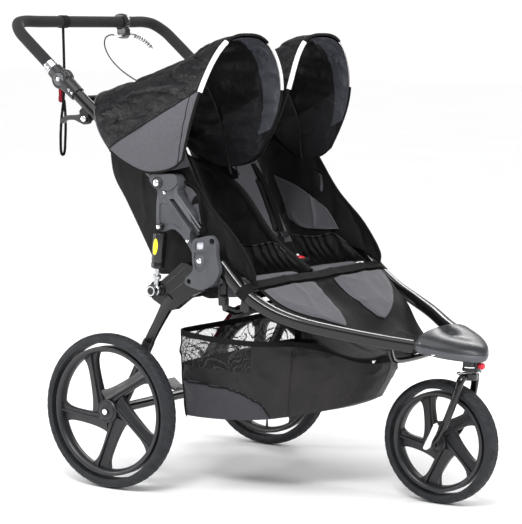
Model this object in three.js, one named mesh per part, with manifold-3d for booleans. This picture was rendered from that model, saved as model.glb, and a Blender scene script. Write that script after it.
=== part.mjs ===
// A double side-by-side jogging stroller with three wheels. Millimetres, +Z up, +X forward, +Y to the riders' left.
// Every X in this file is measured from the rear axle, and Z from the ground. The finished group is moved along X
// so that its origin lies on the ground under the middle of the model.
import * as THREE from 'three';
import { mergeVertices } from 'three/addons/utils/BufferGeometryUtils.js';
import Module from 'manifold-3d';

const wasm = await Module();
wasm.setup();

// ---------------------------------------------------------------- driving dimensions
const MIDDLE_X = 265.5;          // middle of the model's length, from the rear axle
const GAP = 0.3;                 // clearance between parts that meet
const REAR = { radius: 200, seat: 176, hoop: 157, half: 23, hub: 31, bore: 7, inner: -26, outer: 28, track: 720 };
const FRONT = { radius: 157, seat: 134, hoop: 117, half: 25, hub: 26, bore: 6.6, inner: -38, outer: 38, x: 767 };
const SPOKES = 5;
const WHEEL_SEGMENTS = 28;
const FRAME_Y = 320;             // side tubes' centre plane
const TUBE_R = 16;
const GRIP_R = 15.5;
const FOLD = [265, 604];         // main fold bolt
const SWING = [258, 552];        // swing arm pin
const SEAT_HINGE = [165, 500];
const SEAT_ANGLE = 118;          // seat back's lean, degrees above +X
const SEAT_LENGTH = 510;
const SEAT_THICK = 40;
const SEAT_INNER_Y = 18;
const CANOPY_HINGE = [129, 791];
const CANOPY_INNER_Y = 8;
const CANOPY_OUTER_Y = 344;
const CANOPY_SHEET = 3;
const HANDLE_HINGE = [-191, 1041];
const CROSSBAR = [-371, 1187];
const HUB_R = 25;
const CASTING_Y = [303, 335.5];
const CHEEK_Y = [336.4, 347];
const ARM_Y = [304, 330];
const SHOCK_TOP = [139, 681];
const SHOCK_EYE = [125, 519];
const SHOCK_Y = 337;
const FORK_X = 845;

// ---------------------------------------------------------------- materials
const look = (color, roughness, metalness = 0) => new THREE.MeshStandardMaterial({ color, roughness, metalness });
const BLACK_PAINT = look(0x131315, 0.3, 0.2);
const GREY_PLASTIC = look(0x4a4b50, 0.5);
const BLACK_PLASTIC = look(0x17171a, 0.45);
const GLOSS_BLACK = look(0x0c0c0e, 0.15);
const FOAM = look(0x1d1d1f, 0.9);
const STEEL = look(0xb8babd, 0.3, 0.9);
const TYRE = look(0x202123, 0.85);
const BLACK_FABRIC = look(0x17171a, 0.85);
const GREY_FABRIC = look(0x6c6a72, 0.9);
const RED = look(0xa3182a, 0.7);

// ---------------------------------------------------------------- geometry helpers
function outward(geometry) {
  const bare = geometry.clone();
  bare.deleteAttribute('normal');
  bare.deleteAttribute('uv');
  const merged = mergeVertices(bare, 1e-3);
  const at = merged.attributes.position;
  const index = Array.from(merged.index.array);
  const corner = [new THREE.Vector3(), new THREE.Vector3(), new THREE.Vector3()];
  const kept = [];
  let volume = 0;
  for (let i = 0; i < index.length; i += 3) {
    const triangle = index.slice(i, i + 3);
    if (new Set(triangle).size < 3) continue;
    triangle.forEach((vertex, k) => corner[k].fromBufferAttribute(at, vertex));
    volume += corner[0].dot(corner[1].clone().cross(corner[2]));
    kept.push(triangle);
  }
  merged.setIndex(kept.flatMap(([a, b, c]) => (volume < 0 ? [a, c, b] : [a, b, c])));
  return merged;
}

function toSolid(geometry) {
  const closed = outward(geometry);
  const vertProperties = new Float32Array(closed.attributes.position.array);
  const triVerts = new Uint32Array(closed.index.array);
  return new wasm.Manifold(new wasm.Mesh({ numProp: 3, vertProperties, triVerts }));
}

function toGeometry(solid) {
  const mesh = solid.getMesh();
  const geometry = new THREE.BufferGeometry();
  geometry.setAttribute('position', new THREE.BufferAttribute(mesh.vertProperties, 3));
  geometry.setIndex(new THREE.BufferAttribute(mesh.triVerts, 1));
  return geometry;
}

const join = (...pieces) => toGeometry(pieces.map(toSolid).reduce((a, b) => a.add(b)));
const cut = (piece, ...tools) => toGeometry(tools.map(toSolid).reduce((a, b) => a.subtract(b), toSolid(piece)));

// Builds on the left (+Y) side, and mirrors to the right for side = -1.
function onSide(geometry, side) {
  return side > 0 ? geometry : outward(outward(geometry).scale(1, -1, 1));
}

// An outline in the XZ plane with its corners rounded, extruded along Y.
function plate(outline, yLow, yHigh, radius = 0) {
  const points = outline.map(([x, z]) => new THREE.Vector2(x, z));
  const shape = new THREE.Shape();
  points.forEach((corner, i) => {
    const before = points[(i + points.length - 1) % points.length];
    const after = points[(i + 1) % points.length];
    const reach = Math.min(radius, corner.distanceTo(before) / 2.1, corner.distanceTo(after) / 2.1);
    const entry = corner.clone().lerp(before, reach / corner.distanceTo(before));
    const exit = corner.clone().lerp(after, reach / corner.distanceTo(after));
    if (i === 0) shape.moveTo(entry.x, entry.y);
    else shape.lineTo(entry.x, entry.y);
    if (reach > 0) shape.quadraticCurveTo(corner.x, corner.y, exit.x, exit.y);
  });
  const depth = yHigh - yLow;
  const geometry = new THREE.ExtrudeGeometry(shape, { depth, bevelEnabled: false, curveSegments: 2 });
  return geometry.rotateX(Math.PI / 2).translate(0, yHigh, 0);
}

function pinY([x, z], radius, yLow, yHigh, sides = 16) {
  const geometry = new THREE.CylinderGeometry(radius, radius, yHigh - yLow, sides);
  return geometry.translate(x, (yLow + yHigh) / 2, z);
}

function pinZ([x, y], radius, zLow, zHigh, sides = 16) {
  const geometry = new THREE.CylinderGeometry(radius, radius, zHigh - zLow, sides);
  return geometry.rotateX(Math.PI / 2).translate(x, y, (zLow + zHigh) / 2);
}

function rod(from, to, radius, sides = 12) {
  const a = new THREE.Vector3(...from);
  const b = new THREE.Vector3(...to);
  const geometry = new THREE.CylinderGeometry(radius, radius, a.distanceTo(b), sides);
  const turn = new THREE.Quaternion().setFromUnitVectors(new THREE.Vector3(0, 1, 0), b.clone().sub(a).normalize());
  return geometry.applyQuaternion(turn).translate(...a.add(b).multiplyScalar(0.5).toArray());
}

function box([xLow, xHigh], [yLow, yHigh], [zLow, zHigh]) {
  const geometry = new THREE.BoxGeometry(xHigh - xLow, yHigh - yLow, zHigh - zLow);
  return geometry.translate((xLow + xHigh) / 2, (yLow + yHigh) / 2, (zLow + zHigh) / 2);
}

function tube(points, radius, sides, steps) {
  const curve = new THREE.CatmullRomCurve3(points.map((p) => new THREE.Vector3(...p)), false, 'centripetal');
  const ring = [];
  for (let i = 0; i < sides; i += 1) {
    const angle = (2 * Math.PI * (i + 0.5)) / sides;
    ring.push(new THREE.Vector2(radius * Math.cos(angle), radius * Math.sin(angle)));
  }
  return new THREE.ExtrudeGeometry(new THREE.Shape(ring), { steps, extrudePath: curve, bevelEnabled: false });
}

// A closed body from a list of triangles given by vertex numbers.
function body(points, triangles) {
  const geometry = new THREE.BufferGeometry();
  geometry.setAttribute('position', new THREE.Float32BufferAttribute(points.flatMap((p) => [p.x, p.y, p.z]), 3));
  geometry.setIndex(triangles.flat());
  return outward(geometry);
}

// A sheet of even thickness about a grid of points.
function sheet(grid, thickness) {
  const rows = grid.length;
  const columns = grid[0].length;
  const clampRow = (i) => Math.min(rows - 1, Math.max(0, i));
  const clampColumn = (j) => Math.min(columns - 1, Math.max(0, j));
  const normalAt = (i, j) => {
    const along = grid[clampRow(i + 1)][j].clone().sub(grid[clampRow(i - 1)][j]);
    const across = grid[i][clampColumn(j + 1)].clone().sub(grid[i][clampColumn(j - 1)]);
    return along.cross(across).normalize();
  };
  const layers = [thickness / 2, -thickness / 2].map((offset) =>
    grid.map((row, i) => row.map((point, j) => point.clone().addScaledVector(normalAt(i, j), offset))));
  const points = layers.flat(2);
  const at = (layer, i, j) => layer * rows * columns + i * columns + j;
  const triangles = [];
  const quad = (a, b, c, d) => triangles.push([a, b, c], [a, c, d]);
  for (let i = 0; i + 1 < rows; i += 1) {
    for (let j = 0; j + 1 < columns; j += 1) {
      quad(at(0, i, j), at(0, i + 1, j), at(0, i + 1, j + 1), at(0, i, j + 1));
      quad(at(1, i, j), at(1, i, j + 1), at(1, i + 1, j + 1), at(1, i + 1, j));
    }
    quad(at(0, i, 0), at(1, i, 0), at(1, i + 1, 0), at(0, i + 1, 0));
    quad(at(0, i, columns - 1), at(0, i + 1, columns - 1), at(1, i + 1, columns - 1), at(1, i, columns - 1));
  }
  for (let j = 0; j + 1 < columns; j += 1) {
    quad(at(0, 0, j), at(0, 0, j + 1), at(1, 0, j + 1), at(1, 0, j));
    quad(at(0, rows - 1, j), at(1, rows - 1, j), at(1, rows - 1, j + 1), at(0, rows - 1, j + 1));
  }
  return body(points, triangles);
}

// A closed body through rings of equally many points, with a fan of triangles over each end.
function loft(rings) {
  const count = rings[0].length;
  const middle = (ring) => ring.reduce((sum, p) => sum.add(p), new THREE.Vector3()).divideScalar(count);
  const points = [...rings.flat(), middle(rings[0]), middle(rings[rings.length - 1])];
  const first = points.length - 2;
  const last = points.length - 1;
  const triangles = [];
  for (let j = 0; j < count; j += 1) {
    const next = (j + 1) % count;
    for (let k = 0; k + 1 < rings.length; k += 1) {
      const [a, b, c, d] = [k * count + j, k * count + next, (k + 1) * count + next, (k + 1) * count + j];
      triangles.push([a, b, c], [a, c, d]);
    }
    const top = (rings.length - 1) * count;
    triangles.push([first, next, j], [last, top + j, top + next]);
  }
  return body(points, triangles);
}

const toward = ([x, z], [x2, z2], distance) => {
  const length = Math.hypot(x2 - x, z2 - z);
  return [x + ((x2 - x) * distance) / length, z + ((z2 - z) * distance) / length];
};
const at3 = ([x, z], y) => [x, y, z];

// ---------------------------------------------------------------- the part's tree
const group = new THREE.Group();
group.position.x = -MIDDLE_X;

function add(name, geometry, material) {
  const mesh = new THREE.Mesh(outward(geometry), material);
  mesh.name = name;
  group.add(mesh);
}

const SIDES = [['left', 1], ['right', -1]];

// ---------------------------------------------------------------- wheels
function tyre({ radius, seat, half }) {
  const bead = seat + GAP;
  const side = [[bead, 0.6], [bead + 0.45 * (radius - bead), 1]];
  const tread = [[radius - 4, 0.78], [radius, 0.32]];
  const up = [...side, ...tread].map(([r, y]) => new THREE.Vector2(r, y * half));
  const down = [...tread].reverse().concat([...side].reverse()).map(([r, y]) => new THREE.Vector2(r, -y * half));
  return new THREE.LatheGeometry([...up, ...down, up[0].clone()], WHEEL_SEGMENTS);
}

function rim({ seat, hoop, half, hub, bore, inner, outer }, boreEnd) {
  const edge = 0.58 * half;
  const profile = [[seat, -edge], [seat, edge], [hoop, 0.5 * half], [hoop, -0.5 * half]];
  const section = profile.map(([r, y]) => new THREE.Vector2(r, y));
  let wheel = new THREE.LatheGeometry([...section, section[0].clone()], WHEEL_SEGMENTS);
  wheel = join(wheel, pinY([0, 0], hub, inner + 6, outer - 6, 14), pinY([0, 0], hub * 0.62, inner, outer, 14));
  for (let i = 0; i < SPOKES; i += 1) {
    const start = hub - 4;
    const end = hoop + 3;
    const outline = [[start, -14], [end * 0.7, -9], [end, -18], [end, 18], [end * 0.7, 9], [start, 14]];
    wheel = join(wheel, plate(outline, -0.42 * half, 0.42 * half).rotateY((i * 2 * Math.PI) / SPOKES + 0.31));
  }
  return cut(wheel, pinY([0, 0], bore, inner - 5, boreEnd, 10));
}

for (const [name, side] of SIDES) {
  const place = (geometry) => onSide(geometry.translate(0, REAR.track / 2, REAR.radius), side);
  add(`rear_tyre_${name}`, place(tyre(REAR)), TYRE);
  add(`rear_rim_${name}`, place(rim(REAR, REAR.outer - 4)), BLACK_PLASTIC);
}
add('front_tyre', tyre(FRONT).translate(FRONT.x, 0, FRONT.radius), TYRE);
add('front_rim', rim(FRONT, FRONT.outer + 5).translate(FRONT.x, 0, FRONT.radius), BLACK_PLASTIC);

// ---------------------------------------------------------------- rear axle, swing arms, shocks, parking brake
function rearAxle() {
  const centre = [0, REAR.radius];
  const half = ARM_Y[0] - 1.3;
  const stub = REAR.track / 2 + REAR.outer - 8;
  let axle = join(pinY(centre, 13, -half, half, 14), pinY(centre, 5, -stub, stub, 10));
  for (const y of [-36, 30]) {
    axle = join(axle, plate([[6, 208], [6, 190], [-30, 188], [-36, 200], [-28, 214]], y, y + 6, 5));
  }
  return axle;
}
add('rear_axle', rearAxle(), BLACK_PAINT);

const PEDAL = [-28, 200];
add('parking_brake_pedal', join(
  pinY(PEDAL, 6.5, -29.5, 29.5, 12),
  plate([[-30, 203], [-30, 197], [-62, 205], [-84, 222], [-80, 228], [-58, 212]], -24, 24, 3),
), RED);

function swingArm() {
  const blade = [[97, 518], [106, 541], [129, 538], [204, 597], [232, 586], [262, 578], [282, 556], [276, 532],
    [233, 515], [205, 494], [170, 467], [140, 478], [104, 496]];
  const leg = [[150, 317, 489], [118, 317, 438], [84, 317, 372], [50, 317, 305], [22, 317, 244], [6, 317, 212]];
  const eye = pinY([0, REAR.radius], 20, ARM_Y[0], ARM_Y[1], 16);
  const arm = join(plate(blade, ARM_Y[0], ARM_Y[1], 14), tube(leg, 13, 8, 7), eye);
  return cut(arm, pinY(SWING, 9, 290, 345, 16), pinY([0, REAR.radius], 5.4, 290, 345, 12));
}

function shockBody() {
  const top = toward(SHOCK_TOP, SHOCK_EYE, 17);
  const bottom = toward(SHOCK_TOP, SHOCK_EYE, 104);
  const can = rod(at3(top, SHOCK_Y), at3(bottom, SHOCK_Y), 17, 14);
  const neck = rod(at3(SHOCK_TOP, SHOCK_Y + 4), at3(toward(SHOCK_TOP, SHOCK_EYE, 22), SHOCK_Y + 4), 5, 8);
  const eye = pinY(SHOCK_TOP, 11, CASTING_Y[1] + 0.8, SHOCK_Y + 10, 14);
  const bore = rod(at3(toward(SHOCK_TOP, SHOCK_EYE, 40), SHOCK_Y), at3(SHOCK_EYE, SHOCK_Y), 8, 12);
  return cut(join(can, neck, eye), bore);
}

function shockRod() {
  const shaft = rod(at3(toward(SHOCK_TOP, SHOCK_EYE, 72), SHOCK_Y), at3(SHOCK_EYE, SHOCK_Y), 6.4, 12);
  return join(shaft, pinY(SHOCK_EYE, 13, ARM_Y[1] + 0.8, SHOCK_Y + 6.5, 16));
}

for (const [name, side] of SIDES) {
  add(`swing_arm_${name}`, onSide(swingArm(), side), BLACK_PAINT);
  add(`swing_pivot_pin_${name}`, onSide(pinY(SWING, 8.2, ARM_Y[0] - 3, CHEEK_Y[0] - GAP, 16), side), STEEL);
  add(`shock_body_${name}`, onSide(shockBody(), side), BLACK_PAINT);
  add(`shock_rod_${name}`, onSide(shockRod(), side), STEEL);
}

// ---------------------------------------------------------------- chassis: seat tubes, knuckles, cross tubes
const SEAT_TUBE = [[316, 320, 598], [345, 320, 568], [385, 319, 531], [450, 307, 491], [520, 284, 465],
  [600, 236, 444], [680, 173, 424], [749, 122, 410]];
const seatTube = (radius = TUBE_R) => tube(SEAT_TUBE, radius, 10, 15);

function knuckle() {
  const cheek = [[246, 657], [304, 672], [319, 654], [320, 617], [331, 583], [313, 550], [275, 531], [243, 537],
    [224, 544], [225, 557], [251, 580], [246, 605]];
  const saddle = [[292, 594], [306, 582], [334, 554], [313, 549], [290, 536], [284, 560]];
  const pin = pinY(FOLD, 7, CASTING_Y[0], CHEEK_Y[0] + 1, 12);
  const solid = join(plate(cheek, ...CHEEK_Y, 12), plate(saddle, ARM_Y[0], CHEEK_Y[0] + 1), pin);
  return cut(solid, seatTube(TUBE_R + GAP));
}

for (const [name, side] of SIDES) {
  add(`seat_tube_${name}`, onSide(seatTube(), side), BLACK_PAINT);
  add(`fold_knuckle_${name}`, onSide(knuckle(), side), GREY_PLASTIC);
}

const REAR_CROSS = [[303, 291, 560], [302, 291, 515], [301, 285, 488], [300, 262, 473], [300, 200, 472]];
const mirrored = (points) => [...points, ...points.map(([x, y, z]) => [x, -y, z]).reverse()];
add('seat_cross_frame', join(
  tube(mirrored(REAR_CROSS), 10, 8, 18),
  pinY([303, 554], 8, 285, 303.7, 10),
  pinY([303, 554], 8, -303.7, -285, 10),
  pinY([398, 524], 9, -300.5, 300.5, 10),
  rod([300, 0, 472], [398, 0, 524], 7.5, 10),
), BLACK_PAINT);

const FOOT_BAR = [[703, 150, 404], [697, 134, 386], [690, 108, 368], [688, 60, 362]];
const seatTubes = [seatTube(TUBE_R + GAP), onSide(seatTube(TUBE_R + GAP), -1)];
add('foot_rest_bar', cut(tube(mirrored(FOOT_BAR), 7.5, 8, 14), ...seatTubes), BLACK_PLASTIC);

// ---------------------------------------------------------------- nose and head tube
const noseBase = (x) => 415 - 0.23 * (x - 765);
function noseRing(scale, lift, back) {
  const half = [[762, 0], [762, 90], [764, 132], [790, 124], [822, 104], [852, 74], [876, 38], [889, 0]];
  const outline = [...half, ...half.slice(1, -1).map(([x, y]) => [x, -y]).reverse()];
  return outline.map(([x, y]) => {
    const sx = 762 + back + (x - 762) * scale;
    return new THREE.Vector3(sx, y * scale, noseBase(sx) + lift);
  });
}
const noseShell = loft([noseRing(0.84, -19, 0), noseRing(0.97, -9, 0), noseRing(1, -GAP, 0)]);
add('nose_cover', loft([noseRing(1, 0, 0), noseRing(0.97, 12, 0), noseRing(0.84, 24, 0), noseRing(0.5, 34, 4)]), GLOSS_BLACK);
add('nose_shell', noseShell, GREY_PLASTIC);
add('head_tube', cut(
  pinZ([FORK_X, 0], 18, 344, 392, 16),
  pinZ([FORK_X, 0], 10.4, 340, 366, 14),
  noseShell.clone().translate(0, 0, -GAP),
  noseShell.clone().translate(0, 0, 12),
), BLACK_PAINT);
add('swivel_lock_knob', join(
  rod([FORK_X + 18.6, 0, 358], [FORK_X + 28, 0, 358], 5, 10),
  rod([FORK_X + 26, 0, 358], [FORK_X + 40, 0, 358], 9, 12),
), RED);

// ---------------------------------------------------------------- fork
function fork() {
  let solid = join(
    box([822, 858], [-46, 46], [321, 338]),
    pinZ([FORK_X, 0], 19, 336, 343.4, 14),
    pinZ([FORK_X, 0], 9.4, 338, 362, 12),
    pinY([FRONT.x, FRONT.radius], 5.5, -69, 64, 12),
  );
  const leg = [[840, 38, 327], [835, 42, 298], [825, 47, 262], [807, 51, 214], [788, 53, 178], [770, 53, 160]];
  for (const side of [1, -1]) {
    const limb = join(tube(leg, 8, 8, 7), pinY([FRONT.x, FRONT.radius], 15, 48, 59, 12));
    solid = join(solid, onSide(limb, side));
  }
  return solid;
}
add('fork', fork(), BLACK_PAINT);

const LEVER_PIN = [FRONT.x + 3, FRONT.radius];
add('quick_release_lever', join(
  pinY(LEVER_PIN, 8, -79, -69.6, 12),
  plate([[766, 160], [776, 154], [800, 208], [797, 215], [789, 214]], -80, -74, 4),
), STEEL);

// ---------------------------------------------------------------- upper frame
const upperTube = (radius = TUBE_R, start = 28, end = 386) => rod(
  at3(toward(HANDLE_HINGE, CANOPY_HINGE, start), FRAME_Y),
  at3(toward(HANDLE_HINGE, CANOPY_HINGE, end), FRAME_Y),
  radius,
);
const RELEASE_PIN = [-112, 940];

function upperTubeWithEars() {
  const ear = [[-120, 934], [-104, 934], [-96, 958], [-112, 976], [-128, 962]];
  return join(upperTube(), plate(ear, 306, 311, 6), plate(ear, 328.5, 333.5, 6));
}

function sideCasting() {
  const outline = [[112, 812], [183, 815], [194, 792], [186, 768], [231, 717], [231, 684], [226, 655], [250, 622],
    [286, 616], [284, 588], [262, 580], [243, 596], [232, 628], [203, 664], [177, 680], [147, 668], [126, 670],
    [123, 700], [124, 745], [128, 772], [110, 782], [98, 800]];
  return cut(plate(outline, ...CASTING_Y, 12), upperTube(TUBE_R + GAP + 0.3, 20), pinY(FOLD, 8, 290, 345, 16));
}

const lowerHubStart = { disc: [303, 319.7], collar: [30, 60] };
function hub(yRange, target, pipe) {
  const [low, high] = yRange;
  const [from, to] = lowerHubStart.collar;
  const neckEnd = toward(HANDLE_HINGE, target, to - 6);
  const neck = plate([
    [HANDLE_HINGE[0] - 9, HANDLE_HINGE[1] - 12], [HANDLE_HINGE[0] + 9, HANDLE_HINGE[1] + 12],
    [neckEnd[0] + 9, neckEnd[1] + 12], [neckEnd[0] - 9, neckEnd[1] - 12],
  ], low + 0.2, high - 0.2);
  const collar = rod(
    at3(toward(HANDLE_HINGE, target, from), FRAME_Y), at3(toward(HANDLE_HINGE, target, to), FRAME_Y), 20, 14,
  );
  return cut(join(pinY(HANDLE_HINGE, HUB_R, low, high, 20), neck, collar), pipe);
}

const GRIP_START = toward(HANDLE_HINGE, CROSSBAR, 28);
const gripPath = [
  at3(GRIP_START, FRAME_Y), at3(toward(HANDLE_HINGE, CROSSBAR, 150), FRAME_Y),
  at3(toward(HANDLE_HINGE, CROSSBAR, 190), FRAME_Y - 3), at3(toward(HANDLE_HINGE, CROSSBAR, 222), FRAME_Y - 24),
  at3(CROSSBAR, FRAME_Y - 62), at3(CROSSBAR, 200),
];
const grip = tube(mirrored(gripPath), GRIP_R, 10, 30);
add('handlebar_grip', grip, FOAM);

for (const [name, side] of SIDES) {
  const straightGrip = rod(at3(toward(HANDLE_HINGE, CROSSBAR, 27), FRAME_Y), at3(CROSSBAR, FRAME_Y), GRIP_R + 1.2);
  add(`upper_tube_${name}`, onSide(upperTubeWithEars(), side), BLACK_PAINT);
  add(`side_casting_${name}`, onSide(sideCasting(), side), GREY_PLASTIC);
  add(`handle_hub_lower_${name}`, onSide(hub([303, 319.7], CANOPY_HINGE, upperTube(TUBE_R + 0.7, 27)), side), BLACK_PLASTIC);
  add(`handle_hub_upper_${name}`, onSide(hub([320.3, 338], CROSSBAR, straightGrip), side), BLACK_PLASTIC);
  add(`fold_release_lever_${name}`, onSide(join(
    pinY(RELEASE_PIN, 9, 311.6, 328, 14),
    plate([[-106, 944], [-108, 932], [-150, 937], [-188, 934], [-189, 944], [-150, 950]], 312.5, 327.5, 4),
  ), side), BLACK_PLASTIC);
}

add('upper_cross_frame', join(
  pinY([-135, 990], 10, -303, 303, 12),
  plate([[-128, 990], [-60, 905], [142, 800], [148, 784], [118, 780], [-70, 885], [-142, 985]], -4, 4, 8),
), BLACK_PAINT);

// ---------------------------------------------------------------- handlebar fittings
const CLAMP_Y = [150, 172];
add('brake_clamp', cut(join(
  pinY(CROSSBAR, 22, ...CLAMP_Y, 16),
  plate([[-382, 1172], [-354, 1172], [-349, 1152], [-360, 1140], [-378, 1143]], ...CLAMP_Y, 5),
  rod([-363, 151, 1150], [-366, 122, 1151], 4.5, 10),
), pinY(CROSSBAR, GRIP_R + GAP, 130, 190, 10)), BLACK_PLASTIC);
add('brake_lever', join(
  rod([-362, 174.2, 1151], [-362, 182, 1151], 5, 10),
  tube([[-362, 176, 1151], [-359, 205, 1148], [-353, 238, 1136], [-346, 268, 1114]], 4.6, 8, 12),
), STEEL);

const CABLE = [[-366, 121.5, 1151], [-368, 104, 1151], [-366, 80, 1143], [-352, 58, 1122], [-326, 46, 1092],
  [-288, 44, 1060], [-246, 50, 1034], [-205, 58, 1016], [-170, 64, 1006], [-146.5, 67, 1001]];
add('brake_cable', tube(CABLE, 1.8, 8, 34), BLACK_PLASTIC);
add('wrist_strap', box([-373, -369], [-110, -90], [817, CROSSBAR[1] - GRIP_R - 0.6]), BLACK_FABRIC);

// ---------------------------------------------------------------- canopies
// Stations from the front opening back: the side's lowest point, its top, and the crown between the sides.
const CANOPY_STATIONS = [
  { low: [210, 852], side: [283, 1148], crown: [285, 1163] },
  { low: [179, 830], side: [222, 1130], crown: [221, 1152] },
  { low: [98, 816], side: [112, 1092], crown: [128, 1111] },
  { low: [30, 838], side: [0, 1052], crown: [5, 1071] },
  { low: [-23, 866], side: [-85, 1015], crown: [-142, 1028] },
];

function canopyPoint(station, across, inset = 0) {
  const middle = (CANOPY_INNER_Y + CANOPY_OUTER_Y) / 2;
  const half = (CANOPY_OUTER_Y - CANOPY_INNER_Y) / 2 - inset;
  const turn = Math.PI * (1 - across);
  const wide = Math.sign(Math.cos(turn)) * Math.sqrt(Math.abs(Math.cos(turn)));
  const high = Math.sqrt(Math.sin(turn));
  const share = 1 - wide ** 4;
  const [x, z] = [0, 1].map((k) => {
    const top = station.side[k] + (station.crown[k] - station.side[k]) * share;
    return station.low[k] + (top - station.low[k]) * high * (1 - inset / 180);
  });
  return new THREE.Vector3(x, middle + half * wide, z);
}

function canopyShell() {
  const columns = 14;
  const path = (key, t) => {
    const curve = new THREE.SplineCurve(CANOPY_STATIONS.map((s) => new THREE.Vector2(...s[key])));
    return curve.getPoint(t).toArray();
  };
  const grid = [];
  for (let i = 0; i <= 5; i += 1) {
    const station = { low: path('low', i / 5), side: path('side', i / 5), crown: path('crown', i / 5) };
    const row = [];
    for (let j = 0; j <= columns; j += 1) row.push(canopyPoint(station, j / columns));
    grid.push(row);
  }
  return sheet(grid, CANOPY_SHEET);
}

// A wire hoop just inside the fabric, with both ends at the hinge.
function canopyBow(station, footDistance) {
  const hoop = [];
  for (let j = 0; j <= 12; j += 1) hoop.push(canopyPoint(station, j / 12, 5.4).toArray());
  const foot = toward(CANOPY_HINGE, station.low, footDistance);
  const inner = hoop[0][1];
  const outer = hoop[12][1];
  return tube([at3(foot, inner), ...hoop, at3(foot, outer)], 2.6, 6, 26);
}

const MIDDLE_BOW = { low: [120, 834], side: [60, 1073], crown: [70, 1092] };
const pivotDisc = () => pinY(CANOPY_HINGE, 12, CASTING_Y[1] + GAP, 345);

for (const [name, side] of SIDES) {
  add(`canopy_${name}`, onSide(canopyShell(), side), BLACK_FABRIC);
  add(`canopy_front_bow_${name}`, onSide(canopyBow(CANOPY_STATIONS[0], 16), side), STEEL);
  add(`canopy_middle_bow_${name}`, onSide(join(canopyBow(MIDDLE_BOW, 6), pivotDisc()), side), BLACK_PLASTIC);
}

// ---------------------------------------------------------------- seats and soft goods on the chassis
function seatBack() {
  const [low, high] = [SEAT_INNER_Y, 294];
  const outline = [[low, 22], [high, 22], [high, SEAT_LENGTH - 60], [high - 40, SEAT_LENGTH], [low + 40, SEAT_LENGTH],
    [low, SEAT_LENGTH - 60]];
  const shape = new THREE.Shape(outline.map(([y, s]) => new THREE.Vector2(y, s)));
  const geometry = new THREE.ExtrudeGeometry(shape, { depth: SEAT_THICK, bevelEnabled: false });
  const lean = (SEAT_ANGLE * Math.PI) / 180;
  const up = new THREE.Vector3(Math.cos(lean), 0, Math.sin(lean));
  const across = new THREE.Vector3(0, 1, 0);
  const basis = new THREE.Matrix4().makeBasis(across, up, across.clone().cross(up));
  geometry.translate(0, 0, -SEAT_THICK / 2).applyMatrix4(basis);
  return geometry.translate(SEAT_HINGE[0], 0, SEAT_HINGE[1]);
}

const CUSHION = [[196, 481], [355, 552], [384, 548], [386, 530], [352, 520], [196, 452]];
const WALL = [[196, 832], [262, 740], [349, 654], [402, 562], [396, 549], [330, 592], [240, 604], [120, 560],
  [66, 640], [6, 745], [-38, 860], [60, 860], [128, 812]];

for (const [name, side] of SIDES) {
  add(`seat_back_${name}`, onSide(seatBack(), side), BLACK_FABRIC);
  add(`seat_cushion_${name}`, onSide(plate(CUSHION, SEAT_INNER_Y, 271, 12), side), GREY_FABRIC);
  add(`side_wall_${name}`, onSide(plate(WALL, 298, 301, 14), side), BLACK_FABRIC);
}
add('seat_hinge_rod', pinY(SEAT_HINGE, 8, -296, 296, 12), BLACK_PAINT);

// Rows of the leg panel: X, Z and half the width between the seat tubes.
const LEG_ROWS = [[398, 547, 292], [440, 513, 283], [478, 483, 270], [516, 455, 255], [556, 412, 234], [600, 384, 204],
  [650, 374, 160], [700, 394, 112]];
add('leg_panel', sheet(LEG_ROWS.map(([x, z, half]) => [1, 0.5, 0, -0.5, -1].map(
  (share) => new THREE.Vector3(x, share * half, z),
)), 7), GREY_FABRIC);

// ---------------------------------------------------------------- basket
// Half rings of the basket from the rear middle to the front middle: rim, waist and floor.
const BASKET_RINGS = [
  [[150, 0, 408], [150, 200, 410], [160, 284, 410], [273, 298, 404], [388, 288, 402], [471, 205, 398],
    [560, 150, 380], [640, 105, 354], [668, 60, 352], [672, 0, 352]],
  [[140, 0, 300], [140, 190, 300], [150, 266, 300], [270, 284, 300], [394, 268, 302], [480, 188, 306],
    [560, 132, 308], [624, 96, 308], [650, 52, 306], [654, 0, 306]],
  [[131, 0, 190], [131, 170, 188], [140, 236, 188], [271, 250, 192], [392, 236, 203], [470, 160, 214],
    [530, 108, 224], [580, 76, 236], [602, 40, 244], [606, 0, 246]],
];

function basketRing(half, inset, lift) {
  const plan = [...half, ...half.slice(1, -1).map(([x, y, z]) => [x, -y, z]).reverse()];
  return plan.map(([x, y, z], i) => {
    const before = plan[(i + plan.length - 1) % plan.length];
    const after = plan[(i + 1) % plan.length];
    const along = new THREE.Vector2(after[0] - before[0], after[1] - before[1]).normalize();
    return new THREE.Vector3(x + along.y * inset, y - along.x * inset, z + lift);
  });
}

const [basketRim, basketWaist, basketFloor] = BASKET_RINGS;
const basketOuter = loft([basketRing(basketFloor, 0, 0), basketRing(basketWaist, 0, 0), basketRing(basketRim, 0, 0)]);
const basketInner = loft([
  basketRing(basketFloor, 5, 5), basketRing(basketWaist, 5, 0), basketRing(basketRim, 5, 0), basketRing(basketRim, 5, 30),
]);
add('basket', cut(basketOuter, basketInner), BLACK_FABRIC);

const STRAP = [[4, 219], [58, 331], [124, 424], [150, 447]];
const strapRow = ([x, z]) => [new THREE.Vector3(x, -11, z), new THREE.Vector3(x, 11, z)];
add('release_strap', sheet(STRAP.map(strapRow), 3), RED);

export default group;
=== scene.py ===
import math

import bmesh
import bpy
from mathutils import Matrix, Vector, noise


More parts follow.
